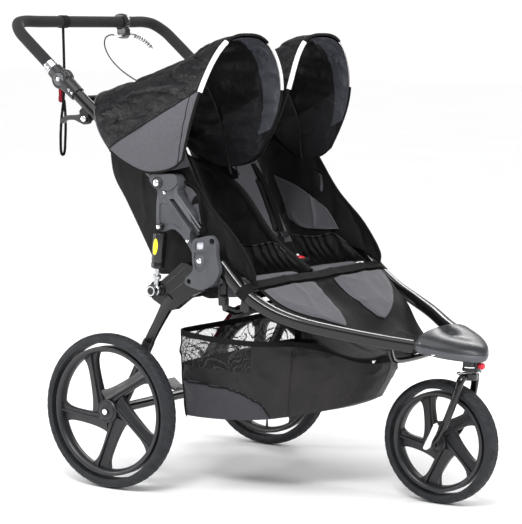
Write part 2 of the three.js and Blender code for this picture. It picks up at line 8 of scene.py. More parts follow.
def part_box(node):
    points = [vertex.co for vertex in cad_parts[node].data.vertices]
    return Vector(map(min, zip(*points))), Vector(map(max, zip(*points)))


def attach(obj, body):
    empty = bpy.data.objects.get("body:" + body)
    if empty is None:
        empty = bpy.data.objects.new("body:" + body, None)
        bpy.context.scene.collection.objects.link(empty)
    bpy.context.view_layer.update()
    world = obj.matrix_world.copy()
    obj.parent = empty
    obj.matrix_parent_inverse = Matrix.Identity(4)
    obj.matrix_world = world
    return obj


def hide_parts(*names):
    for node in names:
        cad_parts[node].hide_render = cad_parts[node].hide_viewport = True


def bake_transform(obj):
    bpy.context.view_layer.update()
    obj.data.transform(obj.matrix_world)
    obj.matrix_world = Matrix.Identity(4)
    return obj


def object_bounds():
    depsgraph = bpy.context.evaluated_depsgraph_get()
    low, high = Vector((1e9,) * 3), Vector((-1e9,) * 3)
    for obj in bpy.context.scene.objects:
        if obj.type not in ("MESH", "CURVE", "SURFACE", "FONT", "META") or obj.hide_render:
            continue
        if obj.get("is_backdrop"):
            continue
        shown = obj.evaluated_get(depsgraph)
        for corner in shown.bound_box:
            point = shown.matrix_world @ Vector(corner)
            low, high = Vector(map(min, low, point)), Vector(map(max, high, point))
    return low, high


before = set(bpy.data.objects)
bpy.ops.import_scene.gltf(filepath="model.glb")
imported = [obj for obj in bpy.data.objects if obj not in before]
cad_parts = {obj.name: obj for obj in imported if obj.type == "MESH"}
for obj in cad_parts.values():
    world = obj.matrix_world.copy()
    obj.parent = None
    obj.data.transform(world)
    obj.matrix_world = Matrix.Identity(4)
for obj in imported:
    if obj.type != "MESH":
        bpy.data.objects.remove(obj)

CAD_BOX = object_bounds()

# Lists of places in this file are in millimetres, with X measured from the rear axle and Z from the ground.
# row() turns such a place into metres in the row frame.
MM = 0.001
MIDDLE_X = -1000 * (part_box("rear_axle")[0].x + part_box("rear_axle")[1].x) / 2 - 11.5
SIDES = (("left", 1), ("right", -1))
TAU = 2 * math.pi


def row(p):
    """A place in this file, as metres in the row frame."""
    return Vector(((p[0] - MIDDLE_X) * MM, p[1] * MM, p[2] * MM))


# ------------------------------------------------------------------ shapes: lists of points and faces
def catmull(points, per=6):
    """A smooth line through the points, with per steps between two of them."""
    given = [Vector(p) for p in points]
    line = [2 * given[0] - given[1], *given, 2 * given[-1] - given[-2]]
    out = []
    for a, b, c, d in zip(line, line[1:], line[2:], line[3:]):
        t1 = (b - a).length ** 0.5
        t2 = t1 + (c - b).length ** 0.5
        t3 = t2 + (d - c).length ** 0.5
        for k in range(per):
            t = t1 + (t2 - t1) * k / per
            p1 = a.lerp(b, t / t1)
            p2 = b.lerp(c, (t - t1) / (t2 - t1))
            p3 = c.lerp(d, (t - t2) / (t3 - t2))
            q1 = p1.lerp(p2, t / t2)
            q2 = p2.lerp(p3, (t - t1) / (t3 - t1))
            out.append(q1.lerp(q2, (t - t1) / (t2 - t1)))
    out.append(given[-1])
    return out


def ring(radius, sides=20, power=2.0, flat=1.0):
    """A round section, or a squarer one for a power above 2."""
    out = []
    for i in range(sides):
        a = TAU * (i + 0.5) / sides
        c, s = math.cos(a), math.sin(a)
        out.append((
            radius * math.copysign(abs(c) ** (2 / power), c),
            flat * radius * math.copysign(abs(s) ** (2 / power), s),
        ))
    return out


def strip(width, thick):
    """The section of a flat band."""
    w, t = width / 2, thick / 2
    return [(-w, -t * 0.6), (-w * 0.96, -t), (w * 0.96, -t), (w, -t * 0.6), (w, t * 0.6), (w * 0.96, t),
            (-w * 0.96, t),
            (-w, t * 0.6)]


def soften(x):
    """From 0 to 1, level at both ends."""
    x = min(1.0, max(0.0, x))
    return x * x * (3 - 2 * x)


def sweep(route, section, up=(0, 1, 0), ups=None, grow=None):
    """A closed skin along a route. The section's second direction leans to up, or to ups at each point."""
    count = len(section)
    points = []
    last = len(route) - 1
    for i, p in enumerate(route):
        ahead = (route[min(i + 1, last)] - route[max(i - 1, 0)]).normalized()
        lean = Vector(ups[i]) if ups else Vector(up)
        side = ahead.cross(lean).normalized()
        lift = side.cross(ahead)
        size = grow(i / last) if grow else 1
        points += [p + (side * u + lift * v) * size for u, v in section]
    faces = [list(range(count)), [last * count + j for j in range(count)]]
    for i in range(last):
        for j in range(count):
            k = (j + 1) % count
            faces.append([i * count + j, i * count + k, (i + 1) * count + k, (i + 1) * count + j])
    return points, faces


def tube(points, radius, per=6, sides=20, up=(0, 1, 0), power=2.0, flat=1.0):
    """A round bar along a smooth line through the points."""
    return sweep(catmull(points, per), ring(radius, sides, power, flat), up)


def rod(a, b, radius, sides=24):
    """A straight round bar from a to b."""
    a, b = Vector(a), Vector(b)
    lean = (0, 1, 0) if abs((b - a).normalized().y) < 0.9 else (1, 0, 0)
    return sweep([a, b], ring(radius, sides), lean)


def revolve(profile, centre, axis=(0, 1, 0), segments=48):
    """A profile of (radius, distance along the axis) turned about the axis."""
    axis = Vector(axis).normalized()
    u = axis.orthogonal().normalized()
    v = axis.cross(u)
    centre = Vector(centre)
    count = len(profile)
    points = []
    for i in range(segments):
        a = TAU * i / segments
        spoke = u * math.cos(a) + v * math.sin(a)
        points += [centre + spoke * r + axis * h for r, h in profile]
    faces = []
    for i in range(segments):
        k = (i + 1) % segments
        for j in range(count - 1):
            faces.append([i * count + j, i * count + j + 1, k * count + j + 1, k * count + j])
    return points, faces


def rounded(outline, radius, steps=4):
    out = []
    count = len(outline)
    for i, p in enumerate(outline):
        corner = Vector(p)
        before, after = Vector(outline[i - 1]), Vector(outline[(i + 1) % count])
        reach = min(radius, (corner - before).length / 2.1, (corner - after).length / 2.1)
        enter = corner + (before - corner).normalized() * reach
        leave = corner + (after - corner).normalized() * reach
        for k in range(steps + 1):
            t = k / steps
            out.append(enter.lerp(corner, t).lerp(corner.lerp(leave, t), t))
    return out


def plate(outline, y_low, y_high, radius=0, steps=4):
    edge = rounded(outline, radius, steps) if radius else [Vector(p) for p in outline]
    count = len(edge)
    points = [Vector((p.x, y, p.y)) for y in (y_low, y_high) for p in edge]
    faces = [list(range(count)), list(range(count, 2 * count))]
    faces += [[j, (j + 1) % count, count + (j + 1) % count, count + j] for j in range(count)]
    return points, faces


def grid_faces(rows, columns, start=0):
    faces = []
    for i in range(rows - 1):
        for j in range(columns - 1):
            a = start + i * columns + j
            faces.append([a, a + 1, a + columns + 1, a + columns])
    return faces


def grid_shape(grid):
    """A grid of places as points and faces."""
    return [p for line in grid for p in line], grid_faces(len(grid), len(grid[0]))


def on_side(shape, side):
    """The same shape on the left, 1, or mirrored to the right, -1."""
    points, faces = shape
    return [Vector((p[0], p[1] * side, p[2])) for p in points], faces


def make(name, shapes, material, body=None, replaces=(), bevel=0, sharp=38, thick=0, levels=0,
         lift=1):
    """One object out of several shapes, in place and riding on its body."""
    points, faces = [], []
    for shape in shapes if isinstance(shapes, list) else [shapes]:
        start = len(points)
        points += shape[0]
        faces += [[start + i for i in face] for face in shape[1]]
    mesh = bpy.data.meshes.new(name)
    mesh.from_pydata([row(p) for p in points], [], faces)
    bm = bmesh.new()
    bm.from_mesh(mesh)
    bmesh.ops.remove_doubles(bm, verts=bm.verts, dist=1e-6)
    bmesh.ops.recalc_face_normals(bm, faces=bm.faces)
    bm.to_mesh(mesh)
    bm.free()
    obj = bpy.data.objects.new(name, mesh)
    bpy.context.scene.collection.objects.link(obj)
    for one in material if isinstance(material, (list, tuple)) else [material]:
        mesh.materials.append(one)
    shade(obj, sharp)
    if thick:
        solid = obj.modifiers.new("thickness", "SOLIDIFY")
        solid.thickness = thick * MM
        solid.offset = 0
    if bevel:
        edge = obj.modifiers.new("edges", "BEVEL")
        edge.width = bevel * MM
        edge.segments = 3
        edge.limit_method = "ANGLE"
        edge.angle_limit = math.radians(sharp)
    if levels:
        smooth = obj.modifiers.new("smooth", "SUBSURF")
        smooth.levels = levels
        smooth.render_levels = levels
    if body:
        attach(obj, body)
    if replaces:
        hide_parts(*([replaces] if isinstance(replaces, str) else replaces))
    return obj


def shade(obj, sharp=38):
    mesh = obj.data
    mesh.polygons.foreach_set("use_smooth", [True] * len(mesh.polygons))
    mesh.set_sharp_from_angle(angle=math.radians(sharp))


def carve(obj, shape):
    """Cuts a closed shape out of an object."""
    cutter = make("cutter", shape, [])
    cut = obj.modifiers.new("cut", "BOOLEAN")
    cut.operation = "DIFFERENCE"
    cut.solver = "EXACT"
    cut.object = cutter
    bake(obj, "cut")
    bpy.data.objects.remove(cutter)


def bake(obj, *only):
    """Applies the object's modifiers, or only those named."""
    hidden = [m for m in obj.modifiers if only and m.name not in only]
    for m in hidden:
        m.show_viewport = False
    bpy.context.view_layer.update()
    evaluated = obj.evaluated_get(bpy.context.evaluated_depsgraph_get())
    mesh = bpy.data.meshes.new_from_object(evaluated)
    old = obj.data
    obj.data = mesh
    bpy.data.meshes.remove(old)
    mesh.name = obj.name
    for m in list(obj.modifiers):
        if m in hidden:
            m.show_viewport = True
        else:
            obj.modifiers.remove(m)


# ------------------------------------------------------------------ materials
class Look:
    """A node material built on one Principled shader."""

    def __init__(self, name, color, rough, metal=0.0, coat=0.0, sheen=0.0, specular=0.5):
        self.material = bpy.data.materials.new(name)
        self.material.use_nodes = True
        self.tree = self.material.node_tree
        self.shader = self.tree.nodes["Principled BSDF"]
        self.place = self.tree.nodes.new("ShaderNodeTexCoord").outputs["Object"]
        self.color = color
        self.normal = None
        put = self.shader.inputs
        put["Base Color"].default_value = (*color, 1)
        put["Roughness"].default_value = rough
        put["Metallic"].default_value = metal
        put["Coat Weight"].default_value = coat
        put["Coat Roughness"].default_value = 0.12
        put["Sheen Weight"].default_value = sheen
        put["Sheen Roughness"].default_value = 0.4
        put["Specular IOR Level"].default_value = specular

    def node(self, kind, **values):
        made = self.tree.nodes.new(kind)
        for key, value in values.items():
            if hasattr(made, key):
                setattr(made, key, value)
            else:
                made.inputs[key.replace("_", " ")].default_value = value
        return made

    def link(self, a, b):
        self.tree.links.new(a, b)

    def stretched(self, scale):
        mapping = self.node("ShaderNodeMapping")
        mapping.inputs["Scale"].default_value = scale
        self.link(self.place, mapping.inputs["Vector"])
        return mapping.outputs["Vector"]

    def noise(self, size, detail=3, rough=0.5, stretch=(1, 1, 1), distortion=0.0):
        """Noise whose bumps are about size millimetres across."""
        made = self.node("ShaderNodeTexNoise", Scale=1000 / size, Detail=detail, Roughness=rough,
                         Distortion=distortion)
        self.link(self.stretched(stretch), made.inputs["Vector"])
        return made.outputs["Fac"]

    def weave(self, size):
        """Three crossed sets of ribs, size millimetres apart, so that two of them cross on any face."""
        total = None
        for direction in "XYZ":
            wave = self.node("ShaderNodeTexWave", bands_direction=direction, Scale=TAU / (20 * size * MM),
                             Distortion=0.6,
                             Detail=1.0)
            self.link(self.place, wave.inputs["Vector"])
            if total is None:
                total = wave.outputs["Fac"]
            else:
                total = self.math("ADD", total, wave.outputs["Fac"])
        return total

    def math(self, operation, a, b=0.5):
        made = self.node("ShaderNodeMath", operation=operation)
        for value, slot in zip((a, b), made.inputs):
            if hasattr(value, "links"):
                self.link(value, slot)
            else:
                slot.default_value = value
        return made.outputs[0]

    def span(self, value, low, high, to_low=0.0, to_high=1.0):
        made = self.node("ShaderNodeMapRange")
        self.link(value, made.inputs["Value"])
        for key, number in (("From Min", low), ("From Max", high), ("To Min", to_low), ("To Max", to_high)):
            made.inputs[key].default_value = number
        return made.outputs[0]

    def bump(self, height, depth, strength=1.0):
        """Adds relief of that depth in millimetres."""
        made = self.node("ShaderNodeBump", Strength=strength, Distance=depth * MM)
        self.link(height, made.inputs["Height"])
        if self.normal is not None:
            self.link(self.normal, made.inputs["Normal"])
        self.normal = made.outputs["Normal"]
        self.link(self.normal, self.shader.inputs["Normal"])
        return self

    def tint(self, mask, other, low=0.35, high=0.65):
        """Mixes another colour in where the mask is high."""
        mix = self.node("ShaderNodeMix", data_type="RGBA")
        self.link(self.span(mask, low, high), mix.inputs["Factor"])
        before = self.shader.inputs["Base Color"]
        if before.links:
            self.link(before.links[0].from_socket, mix.inputs["A"])
        else:
            mix.inputs["A"].default_value = before.default_value
        mix.inputs["B"].default_value = (*other, 1)
        self.link(mix.outputs["Result"], before)
        return self

    def vary_rough(self, mask, low, high):
        self.link(self.span(mask, 0.3, 0.7, low, high), self.shader.inputs["Roughness"])
        return self

    def painted_edge_highlight(self, other, amount=0.5):
        """Painted highlight: a lighter copy of the colour on the shape's own convex edges, where light would
        catch them.
        """
        edge = self.node("ShaderNodeNewGeometry").outputs["Pointiness"]
        mask = self.math("MULTIPLY", self.span(edge, 0.505, 0.56), self.noise(6))
        return self.tint(self.math("MULTIPLY", mask, amount * 2), other, 0.0, 1.0)


def black_nylon():
    """Coated nylon with a low sheen, fine creases and a close weave."""
    look = Look("black_nylon", (0.0042, 0.0042, 0.005), 0.42, specular=0.3)
    look.vary_rough(look.noise(60), 0.34, 0.52)
    look.tint(look.noise(90, 4), (0.0075, 0.0075, 0.0085))
    look.bump(look.noise(34, 5, 0.62, (1, 1, 1), 1.2), 2.6)
    look.bump(look.weave(1.1), 0.05)
    return look.material


def crinkled_nylon():
    """The canopy's shiny coated nylon."""
    look = Look("crinkled_nylon", (0.0032, 0.0032, 0.0042), 0.3, specular=0.24)
    look.vary_rough(look.noise(45), 0.2, 0.34)
    look.bump(look.noise(95, 5, 0.6, (1, 1, 1.8), 1.6), 12.0)
    look.bump(look.noise(20, 4, 0.6, (1, 1, 1), 1.2), 1.6)
    look.bump(look.weave(1.0), 0.04)
    return look.material


def matt_black_fabric(name="black_fabric"):
    look = Look(name, (0.0042, 0.0042, 0.0048), 0.66, specular=0.2)
    look.tint(look.noise(50, 3), (0.0068, 0.0066, 0.0072))
    look.bump(look.noise(60, 4, 0.5), 3.0)
    look.bump(look.weave(1.4), 0.12)
    return look.material


def brown_black_fabric():
    look = Look("basket_fabric", (0.0105, 0.0092, 0.009), 0.5, specular=0.28)
    look.tint(look.noise(70, 3), (0.016, 0.0138, 0.0135))
    look.bump(look.noise(44, 5, 0.6, (1, 1, 0.6), 0.8), 3.2)
    look.bump(look.weave(1.3), 0.1)
    return look.material


def grey_fabric(name="grey_fabric", color=(0.094, 0.092, 0.104)):
    """Heathered polyester: light and dark yarns."""
    look = Look(name, color, 0.82, sheen=0.15, specular=0.25)
    look.tint(look.noise(1.6, 2, 0.6), tuple(c * 0.68 for c in color), 0.42, 0.6)
    look.tint(look.noise(2.4, 2, 0.6, (1, 1, 3)), tuple(c * 1.35 for c in color), 0.55, 0.75)
    look.bump(look.noise(80, 3, 0.5), 2.4)
    look.bump(look.weave(1.3), 0.12)
    return look.material


def lining(name, color):
    look = Look(name, color, 0.5, specular=0.35)
    look.bump(look.noise(46, 4, 0.6, (1, 1, 1), 1.2), 7.0)
    look.bump(look.weave(1.2), 0.06)
    return look.material


def webbing(name, color):
    look = Look(name, color, 0.7, specular=0.12)
    look.tint(look.weave(1.8), tuple(c * 1.5 for c in color), 1.3, 2.2)
    look.bump(look.weave(1.8), 0.3)
    return look.material


def net():
    """See-through black net: rows of small holes."""
    look = Look("net", (0.006, 0.006, 0.0065), 0.6)
    cells = look.node("ShaderNodeTexVoronoi", feature="DISTANCE_TO_EDGE", Scale=1000 / 3.2, Randomness=0.25)
    look.link(look.place, cells.inputs["Vector"])
    thread = look.span(cells.outputs["Distance"], 0.1, 0.15, 1.0, 0.0)
    look.link(thread, look.shader.inputs["Alpha"])
    look.bump(look.noise(30, 3), 1.0)
    return look.material


def painted(name="black_paint", color=(0.0035, 0.0035, 0.004), rough=0.17):
    """Gloss powder coat with a faint orange peel."""
    look = Look(name, color, rough, coat=0.15, specular=0.4)
    look.vary_rough(look.noise(50, 3), rough * 0.8, rough * 1.3)
    look.bump(look.noise(2.2, 2), 0.04)
    return look.material


def moulding(name, color, rough=0.45, grain=0.9, depth=0.05):
    look = Look(name, color, rough, specular=0.42)
    look.vary_rough(look.noise(30, 4), rough * 0.85, rough * 1.2)
    look.tint(look.noise(24, 4), tuple(c * 1.2 for c in color))
    look.bump(look.noise(grain, 2), depth)
    # painted highlight: convex edges get a lighter copy of the moulding's colour
    look.painted_edge_highlight(tuple(min(1, c * 2.2 + 0.02) for c in color), 0.35)
    return look.material


def foam():
    look = Look("foam", (0.013, 0.013, 0.014), 0.88, sheen=0.1, specular=0.25)
    look.tint(look.noise(3.0, 3, 0.7), (0.02, 0.02, 0.0215))
    look.bump(look.noise(1.4, 3, 0.7), 0.35)
    return look.material


def rubber():
    look = Look("tyre_rubber", (0.0095, 0.0102, 0.0122), 0.56, specular=0.3)
    look.tint(look.noise(22, 4, 0.6), (0.015, 0.0162, 0.0195))
    look.vary_rough(look.noise(18, 4), 0.5, 0.75)
    look.bump(look.noise(1.0, 2), 0.06)
    return look.material


def metal(name, color, rough):
    look = Look(name, color, rough, metal=1.0)
    look.vary_rough(look.noise(9, 3, 0.6, (1, 6, 1)), rough * 0.75, rough * 1.4)
    look.bump(look.noise(1.5, 2), 0.015)
    return look.material


NYLON = black_nylon()
CRINKLED = crinkled_nylon()
BLACK_FABRIC = matt_black_fabric()
BASKET_FABRIC = brown_black_fabric()
GREY_FABRIC = grey_fabric()
BASKET_GREY = grey_fabric("basket_grey", (0.045, 0.045, 0.053))
LINING = lining("lining", (0.05, 0.053, 0.064))
# painted shade: a darker copy of the grey lining, for the lining deep inside the canopy's lower walls
LINING_PAINTED_SHADE = lining("lining_painted_shade", (0.013, 0.0132, 0.0155))
BLACK_WEB = webbing("black_webbing", (0.0052, 0.0052, 0.0056))
RED_WEB = webbing("red_webbing", (0.14, 0.005, 0.012))
PIPING = webbing("white_piping", (0.75, 0.74, 0.72))
NET = net()
PAINT = painted()
CASTING = moulding("grey_moulding", (0.042, 0.044, 0.05), 0.36)
PLASTIC = moulding("black_moulding", (0.008, 0.008, 0.0092), 0.36)
GLOSS = painted("gloss_moulding", (0.008, 0.008, 0.009), 0.24)
NOSE = moulding("nose_moulding", (0.017, 0.0178, 0.0205), 0.3)
RIM = moulding("rim_moulding", (0.0085, 0.0088, 0.0102), 0.34, 1.2, 0.04)
RED_PLASTIC = moulding("red_moulding", (0.42, 0.008, 0.02), 0.35)
LIGHT = moulding("light_moulding", (0.34, 0.35, 0.38), 0.4)
YELLOW = moulding("yellow_badge", (0.72, 0.62, 0.02), 0.4)
FOAM = foam()
RUBBER = rubber()
CHROME = metal("chrome", (0.8, 0.81, 0.83), 0.14)
STEEL = metal("steel", (0.5, 0.51, 0.53), 0.28)


# ------------------------------------------------------------------ camera, floor and lights
def camera():
    azimuth, elevation, roll = (math.radians(a) for a in (33.95, 6.59, 0.71))
    toward = Vector((
        math.sin(azimuth) * math.cos(elevation),
        -math.cos(azimuth) * math.cos(elevation),
        math.sin(elevation),
    ))
    right = Vector((math.cos(azimuth), math.sin(azimuth), 0))
    up = right.cross(-toward)
    turned_right = right * math.cos(roll) + up * math.sin(roll)
    turned_up = up * math.cos(roll) - right * math.sin(roll)
    data = bpy.data.cameras.new("camera")
    data.sensor_width = 36
    data.lens = 148.74
    data.clip_end = 100
    obj = bpy.data.objects.new("camera", data)
    bpy.context.scene.collection.objects.link(obj)
    turn = Matrix((turned_right, turned_up, toward)).transposed().to_4x4()
    obj.matrix_world = Matrix.Translation(row((3371, -4685, 1220))) @ turn
    bpy.context.scene.camera = obj


def area_light(name, place, target, size, power, color=(1, 1, 1)):
    data = bpy.data.lights.new(name, "AREA")
    data.shape = "RECTANGLE"
    data.size, data.size_y = size
    data.energy = power
    data.color = color
    obj = bpy.data.objects.new(name, data)
    obj.location = place
    obj.rotation_mode = "QUATERNION"
    obj.rotation_quaternion = (Vector(target) - Vector(place)).to_track_quat("-Z", "Y")
    bpy.context.scene.collection.objects.link(obj)


def studio():
    world = bpy.data.worlds.new("world")
    world.use_nodes = True
    nodes, links = world.node_tree.nodes, world.node_tree.links
    nodes["Background"].inputs["Color"].default_value = (1, 1, 1, 1)
    height = nodes.new("ShaderNodeSeparateXYZ")
    links.new(nodes.new("ShaderNodeTexCoord").outputs["Generated"], height.inputs[0])
    bright = nodes.new("ShaderNodeMapRange")
    for key, value in (("From Min", 0.03), ("From Max", 0.09), ("To Min", 1.05), ("To Max", 0.33)):
        bright.inputs[key].default_value = value
    links.new(height.outputs["Z"], bright.inputs["Value"])
    links.new(bright.outputs[0], nodes["Background"].inputs["Strength"])
    bpy.context.scene.world = world
    bpy.context.scene.view_settings.view_transform = "Standard"
    floor_look = Look("floor", (0.93, 0.93, 0.935), 0.7, specular=0.1)
    floor_look.tint(floor_look.noise(900, 2), (0.92, 0.92, 0.93))
    bpy.ops.mesh.primitive_grid_add(x_subdivisions=8, y_subdivisions=8, size=60)
    floor = bpy.context.object
    floor.name = "floor"
    floor.location.z = -0.0005
    floor.data.materials.append(floor_look.material)
    floor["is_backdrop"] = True
    sun = bpy.data.lights.new("sky", "SUN")
    sun.energy = 2.6
    sun.angle = math.radians(75)
    sky = bpy.data.objects.new("sky", sun)
    sky.rotation_euler = (math.radians(18), math.radians(8), 0)
    bpy.context.scene.collection.objects.link(sky)
    area_light("key", (1.0, -2.8, 3.2), (0, 0, 0.6), (1.2, 0.8), 90)
    area_light("front", (3.4, 0.4, 1.4), (0, 0, 0.6), (0.35, 2.2), 45)
    area_light("rear", (-2.6, -2.0, 1.6), (0, 0, 0.7), (0.5, 2.2), 45)
    area_light("far", (-0.5, 3.2, 2.4), (0, 0, 0.6), (2.4, 0.8), 40)


camera()
studio()

# ------------------------------------------------------------------ brake cable, from the brake barrel to its port on the frame
CABLE = [(-366, 121.5, 1151), (-368, 104, 1151), (-366, 80, 1143), (-352, 58, 1122), (-326, 46, 1092),
         (-288, 44, 1060), (-246, 50, 1034), (-205, 58, 1016), (-170, 64, 1006), (-146.5, 67, 1001)]
HANDLE_HINGE = (-191, 0, 1041)
CROSSBAR = (-371, 0, 1187)
cable = make("brake_hose", [tube(CABLE, 1.9, 8, 12)], PLASTIC, replaces="brake_cable")
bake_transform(cable)
make("cable_port", [revolve([(0, 0), (4.2, 0), (4.2, 7), (2.6, 13), (0, 13)], (-135, 69.5, 997),
                            (-0.87, -0.24, 0.42), 20)],
     PLASTIC, "upper_frame")


# ------------------------------------------------------------------ wheels
REAR = {"radius": 200, "lip": 164, "barrel": 153, "half": 23, "deep": 17, "hub": 31, "x": 0, "y": 360,
        "z": 200}
FRONT = {"radius": 157, "lip": 124, "barrel": 114, "half": 25, "deep": 19, "hub": 25, "x": 767, "y": 0,
         "z": 157}
SPOKES = 5


def tyre_shape(wheel, blocks):
    lip, radius, half = wheel["lip"], wheel["radius"], wheel["half"]
    middle = (lip + radius) / 2 + 2
    section = []
    steps = 34
    for i in range(steps + 1):
        a = math.pi * (1.13 - 1.26 * i / steps)
        section.append([middle + (radius - middle) * math.sin(a) if a > 0 and a < math.pi else middle
                        + (middle - lip) * math.sin(a), half * math.copysign(abs(math.cos(a)) ** 0.8,
                            math.cos(a))])
    section = [[r, y] for r, y in section]
    segments = blocks * 8
    centre = Vector((wheel["x"], wheel["y"], wheel["z"]))
    points = []
    for k in range(segments):
        turn = TAU * k / segments
        for r, y in section:
            share = abs(y) / half
            groove = 0.0
            if r > middle + 0.42 * (radius - middle):
                phase = (turn * blocks / TAU + 1.1 * share * (1 if y > 0 else -1)) % 1
                if phase < 0.26 and share > 0.22:
                    groove = 1.7
                if 0.14 < share < 0.24:
                    groove = 1.4
            elif abs(r - (lip + 0.42 * (radius - lip))) < 1.6:
                groove = -0.7
            points.append(centre + Vector((math.cos(turn) * (r - groove), y, math.sin(turn) * (r - groove))))
    count = len(section)
    faces = []
    for k in range(segments):
        n = (k + 1) % segments
        for j in range(count - 1):
            faces.append([k * count + j, k * count + j + 1, n * count + j + 1, n * count + j])
        faces.append([k * count + count - 1, k * count, n * count, n * count + count - 1])
    return points, faces


def spoke_shape(wheel, angle, side):
    """One wide spoke with a raised rib, tangent to the hub instead of radial."""
    inner, outer, offset = 8, wheel["barrel"] + 3, wheel["hub"] * 0.98
    points = []
    steps = 14
    for i in range(steps + 1):
        t = i / steps
        along = inner + (outer - inner) * t
        wide = 15 + 13 * math.exp(-5.5 * t) + 20 * math.exp(-11 * (1 - t))
        back = 9 + 3 * (1 - t)
        front = 5 + 4 * (1 - t)
        profile = [(-wide, -back), (-wide, front - 3), (-wide + 2, front), (-10, front + 0.6),
                   (-8, front + 6.5),
                   (-5, front + 6.5), (-3, front - 0.5), (4, front - 3), (wide - 4, front - 3.5),
                   (wide, front - 6), (wide, -back)]
        for across, high in profile:
            x, z = along, offset * (1 - 0.55 * t) + across
            points.append(Vector((
                wheel["x"] + x * math.cos(angle) - z * math.sin(angle),
                wheel["y"] + side * high,
                wheel["z"] + x * math.sin(angle) + z * math.cos(angle),
            )))
    count = 11
    faces = [list(range(count)), [steps * count + j for j in range(count)]]
    for i in range(steps):
        for j in range(count):
            k = (j + 1) % count
            faces.append([i * count + j, i * count + k, (i + 1) * count + k, (i + 1) * count + j])
    return points, faces


def wheel_parts(name, wheel, body, side, blocks, first_angle):
    centre = (wheel["x"], wheel["y"], wheel["z"])
    lip, barrel, deep = wheel["lip"], wheel["barrel"], wheel["deep"]
    tyre = make(f"{name}_tread_tyre", [tyre_shape(wheel, blocks)], RUBBER, body, sharp=30)
    ring_profile = [(lip - 6, deep), (lip - 1.5, deep + 1.5), (lip + 2.5, deep), (lip + 3, deep - 5),
                    (lip + 3, -deep + 5),
                    (lip + 2.5, -deep), (lip - 1.5, -deep - 1.5), (lip - 6, -deep), (barrel + 2, -deep + 3),
                    (barrel, -deep + 6),
                    (barrel - 2, 0), (barrel, deep - 6), (barrel + 2, deep - 3), (lip - 6, deep)]
    shapes = [revolve(ring_profile, centre, segments=120)]
    for i in range(SPOKES):
        shapes.append(spoke_shape(wheel, first_angle + TAU * i / SPOKES, side))
    hub = wheel["hub"]
    face = 24 if wheel["radius"] > 180 else 30
    hub_profile = [(0, -face), (hub * 0.62, -face), (hub * 0.62, -18), (hub, -16), (hub, face - 8),
                   (hub - 3, face - 5),
                   (hub * 0.86, face - 5), (hub * 0.84, face - 6.5), (hub * 0.78, face - 6.5),
                   (hub * 0.76, face - 4.5),
                   (hub * 0.42, face - 3.2), (hub * 0.38, face - 6), (0, face - 6)]
    shapes.append(revolve([(r, h * side) for r, h in hub_profile], centre, segments=64))
    rim = make(f"{name}_spoked_rim", shapes, RIM, body, bevel=0.9, sharp=42)
    low = (wheel["x"] + 2, wheel["y"], wheel["z"] - barrel + 2)
    make(f"{name}_valve", [revolve([(0, -6), (3.6, -6), (3.6, 4), (3, 9), (2.6, 22), (3.4, 23), (3.4, 31),
                                    (2.4, 33), (0, 33)],
                                   low, (0, 0, 1), 20)], PLASTIC, body)
    return tyre, rim


for side_name, side in SIDES:
    place = dict(REAR, y=REAR["y"] * side)
    body = f"rear_wheel_{side_name}"
    tyre, rim = wheel_parts(f"rear_{side_name}", place, body, side, 56,
                            math.radians(38) if side < 0 else math.radians(20))
    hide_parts(f"rear_tyre_{side_name}")
    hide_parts(f"rear_rim_{side_name}")
    bolt = [(0, 19), (5.5, 19), (7.5, 20), (8.2, 23), (7.6, 25.2), (0, 26.4)]
    make(f"rear_axle_bolt_{side_name}", [revolve([(r, h * side) for r, h in bolt], (0, REAR["y"] * side, 200),
                                                 segments=32)],
         CHROME, "swing_arm")
tyre, rim = wheel_parts("front", FRONT, "front_wheel", -1, 44, math.radians(33))
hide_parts("front_tyre")
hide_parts("front_rim")

# ------------------------------------------------------------------ frame tubes
CANOPY_HINGE = (129, 791)


def along(a, b, distance, y=320):
    start, end = Vector((a[0], y, a[-1])), Vector((b[0], y, b[-1]))
    return start + (end - start).normalized() * distance


def disc(x, z, y_low, y_high, radius, segments=40, round_edge=1.2):
    e = round_edge
    profile = [(0, y_low), (radius - e, y_low), (radius, y_low + e), (radius, y_high - e),
               (radius - e, y_high), (0, y_high)]
    return revolve(profile, (x, 0, z), segments=segments)


def bolt_head(x, z, y, radius=6):
    """A domed head with a hexagon socket, its face at the greater Y."""
    profile = [(radius * 0.42, y + 1.2), (radius * 0.46, y + 3.6), (radius * 0.8, y + 3.2), (radius, y + 1.6),
               (radius, y - 2),
               (0, y - 2), (0, y + 1.2), (radius * 0.42, y + 1.2)]
    return revolve(profile, (x, 0, z), segments=24)


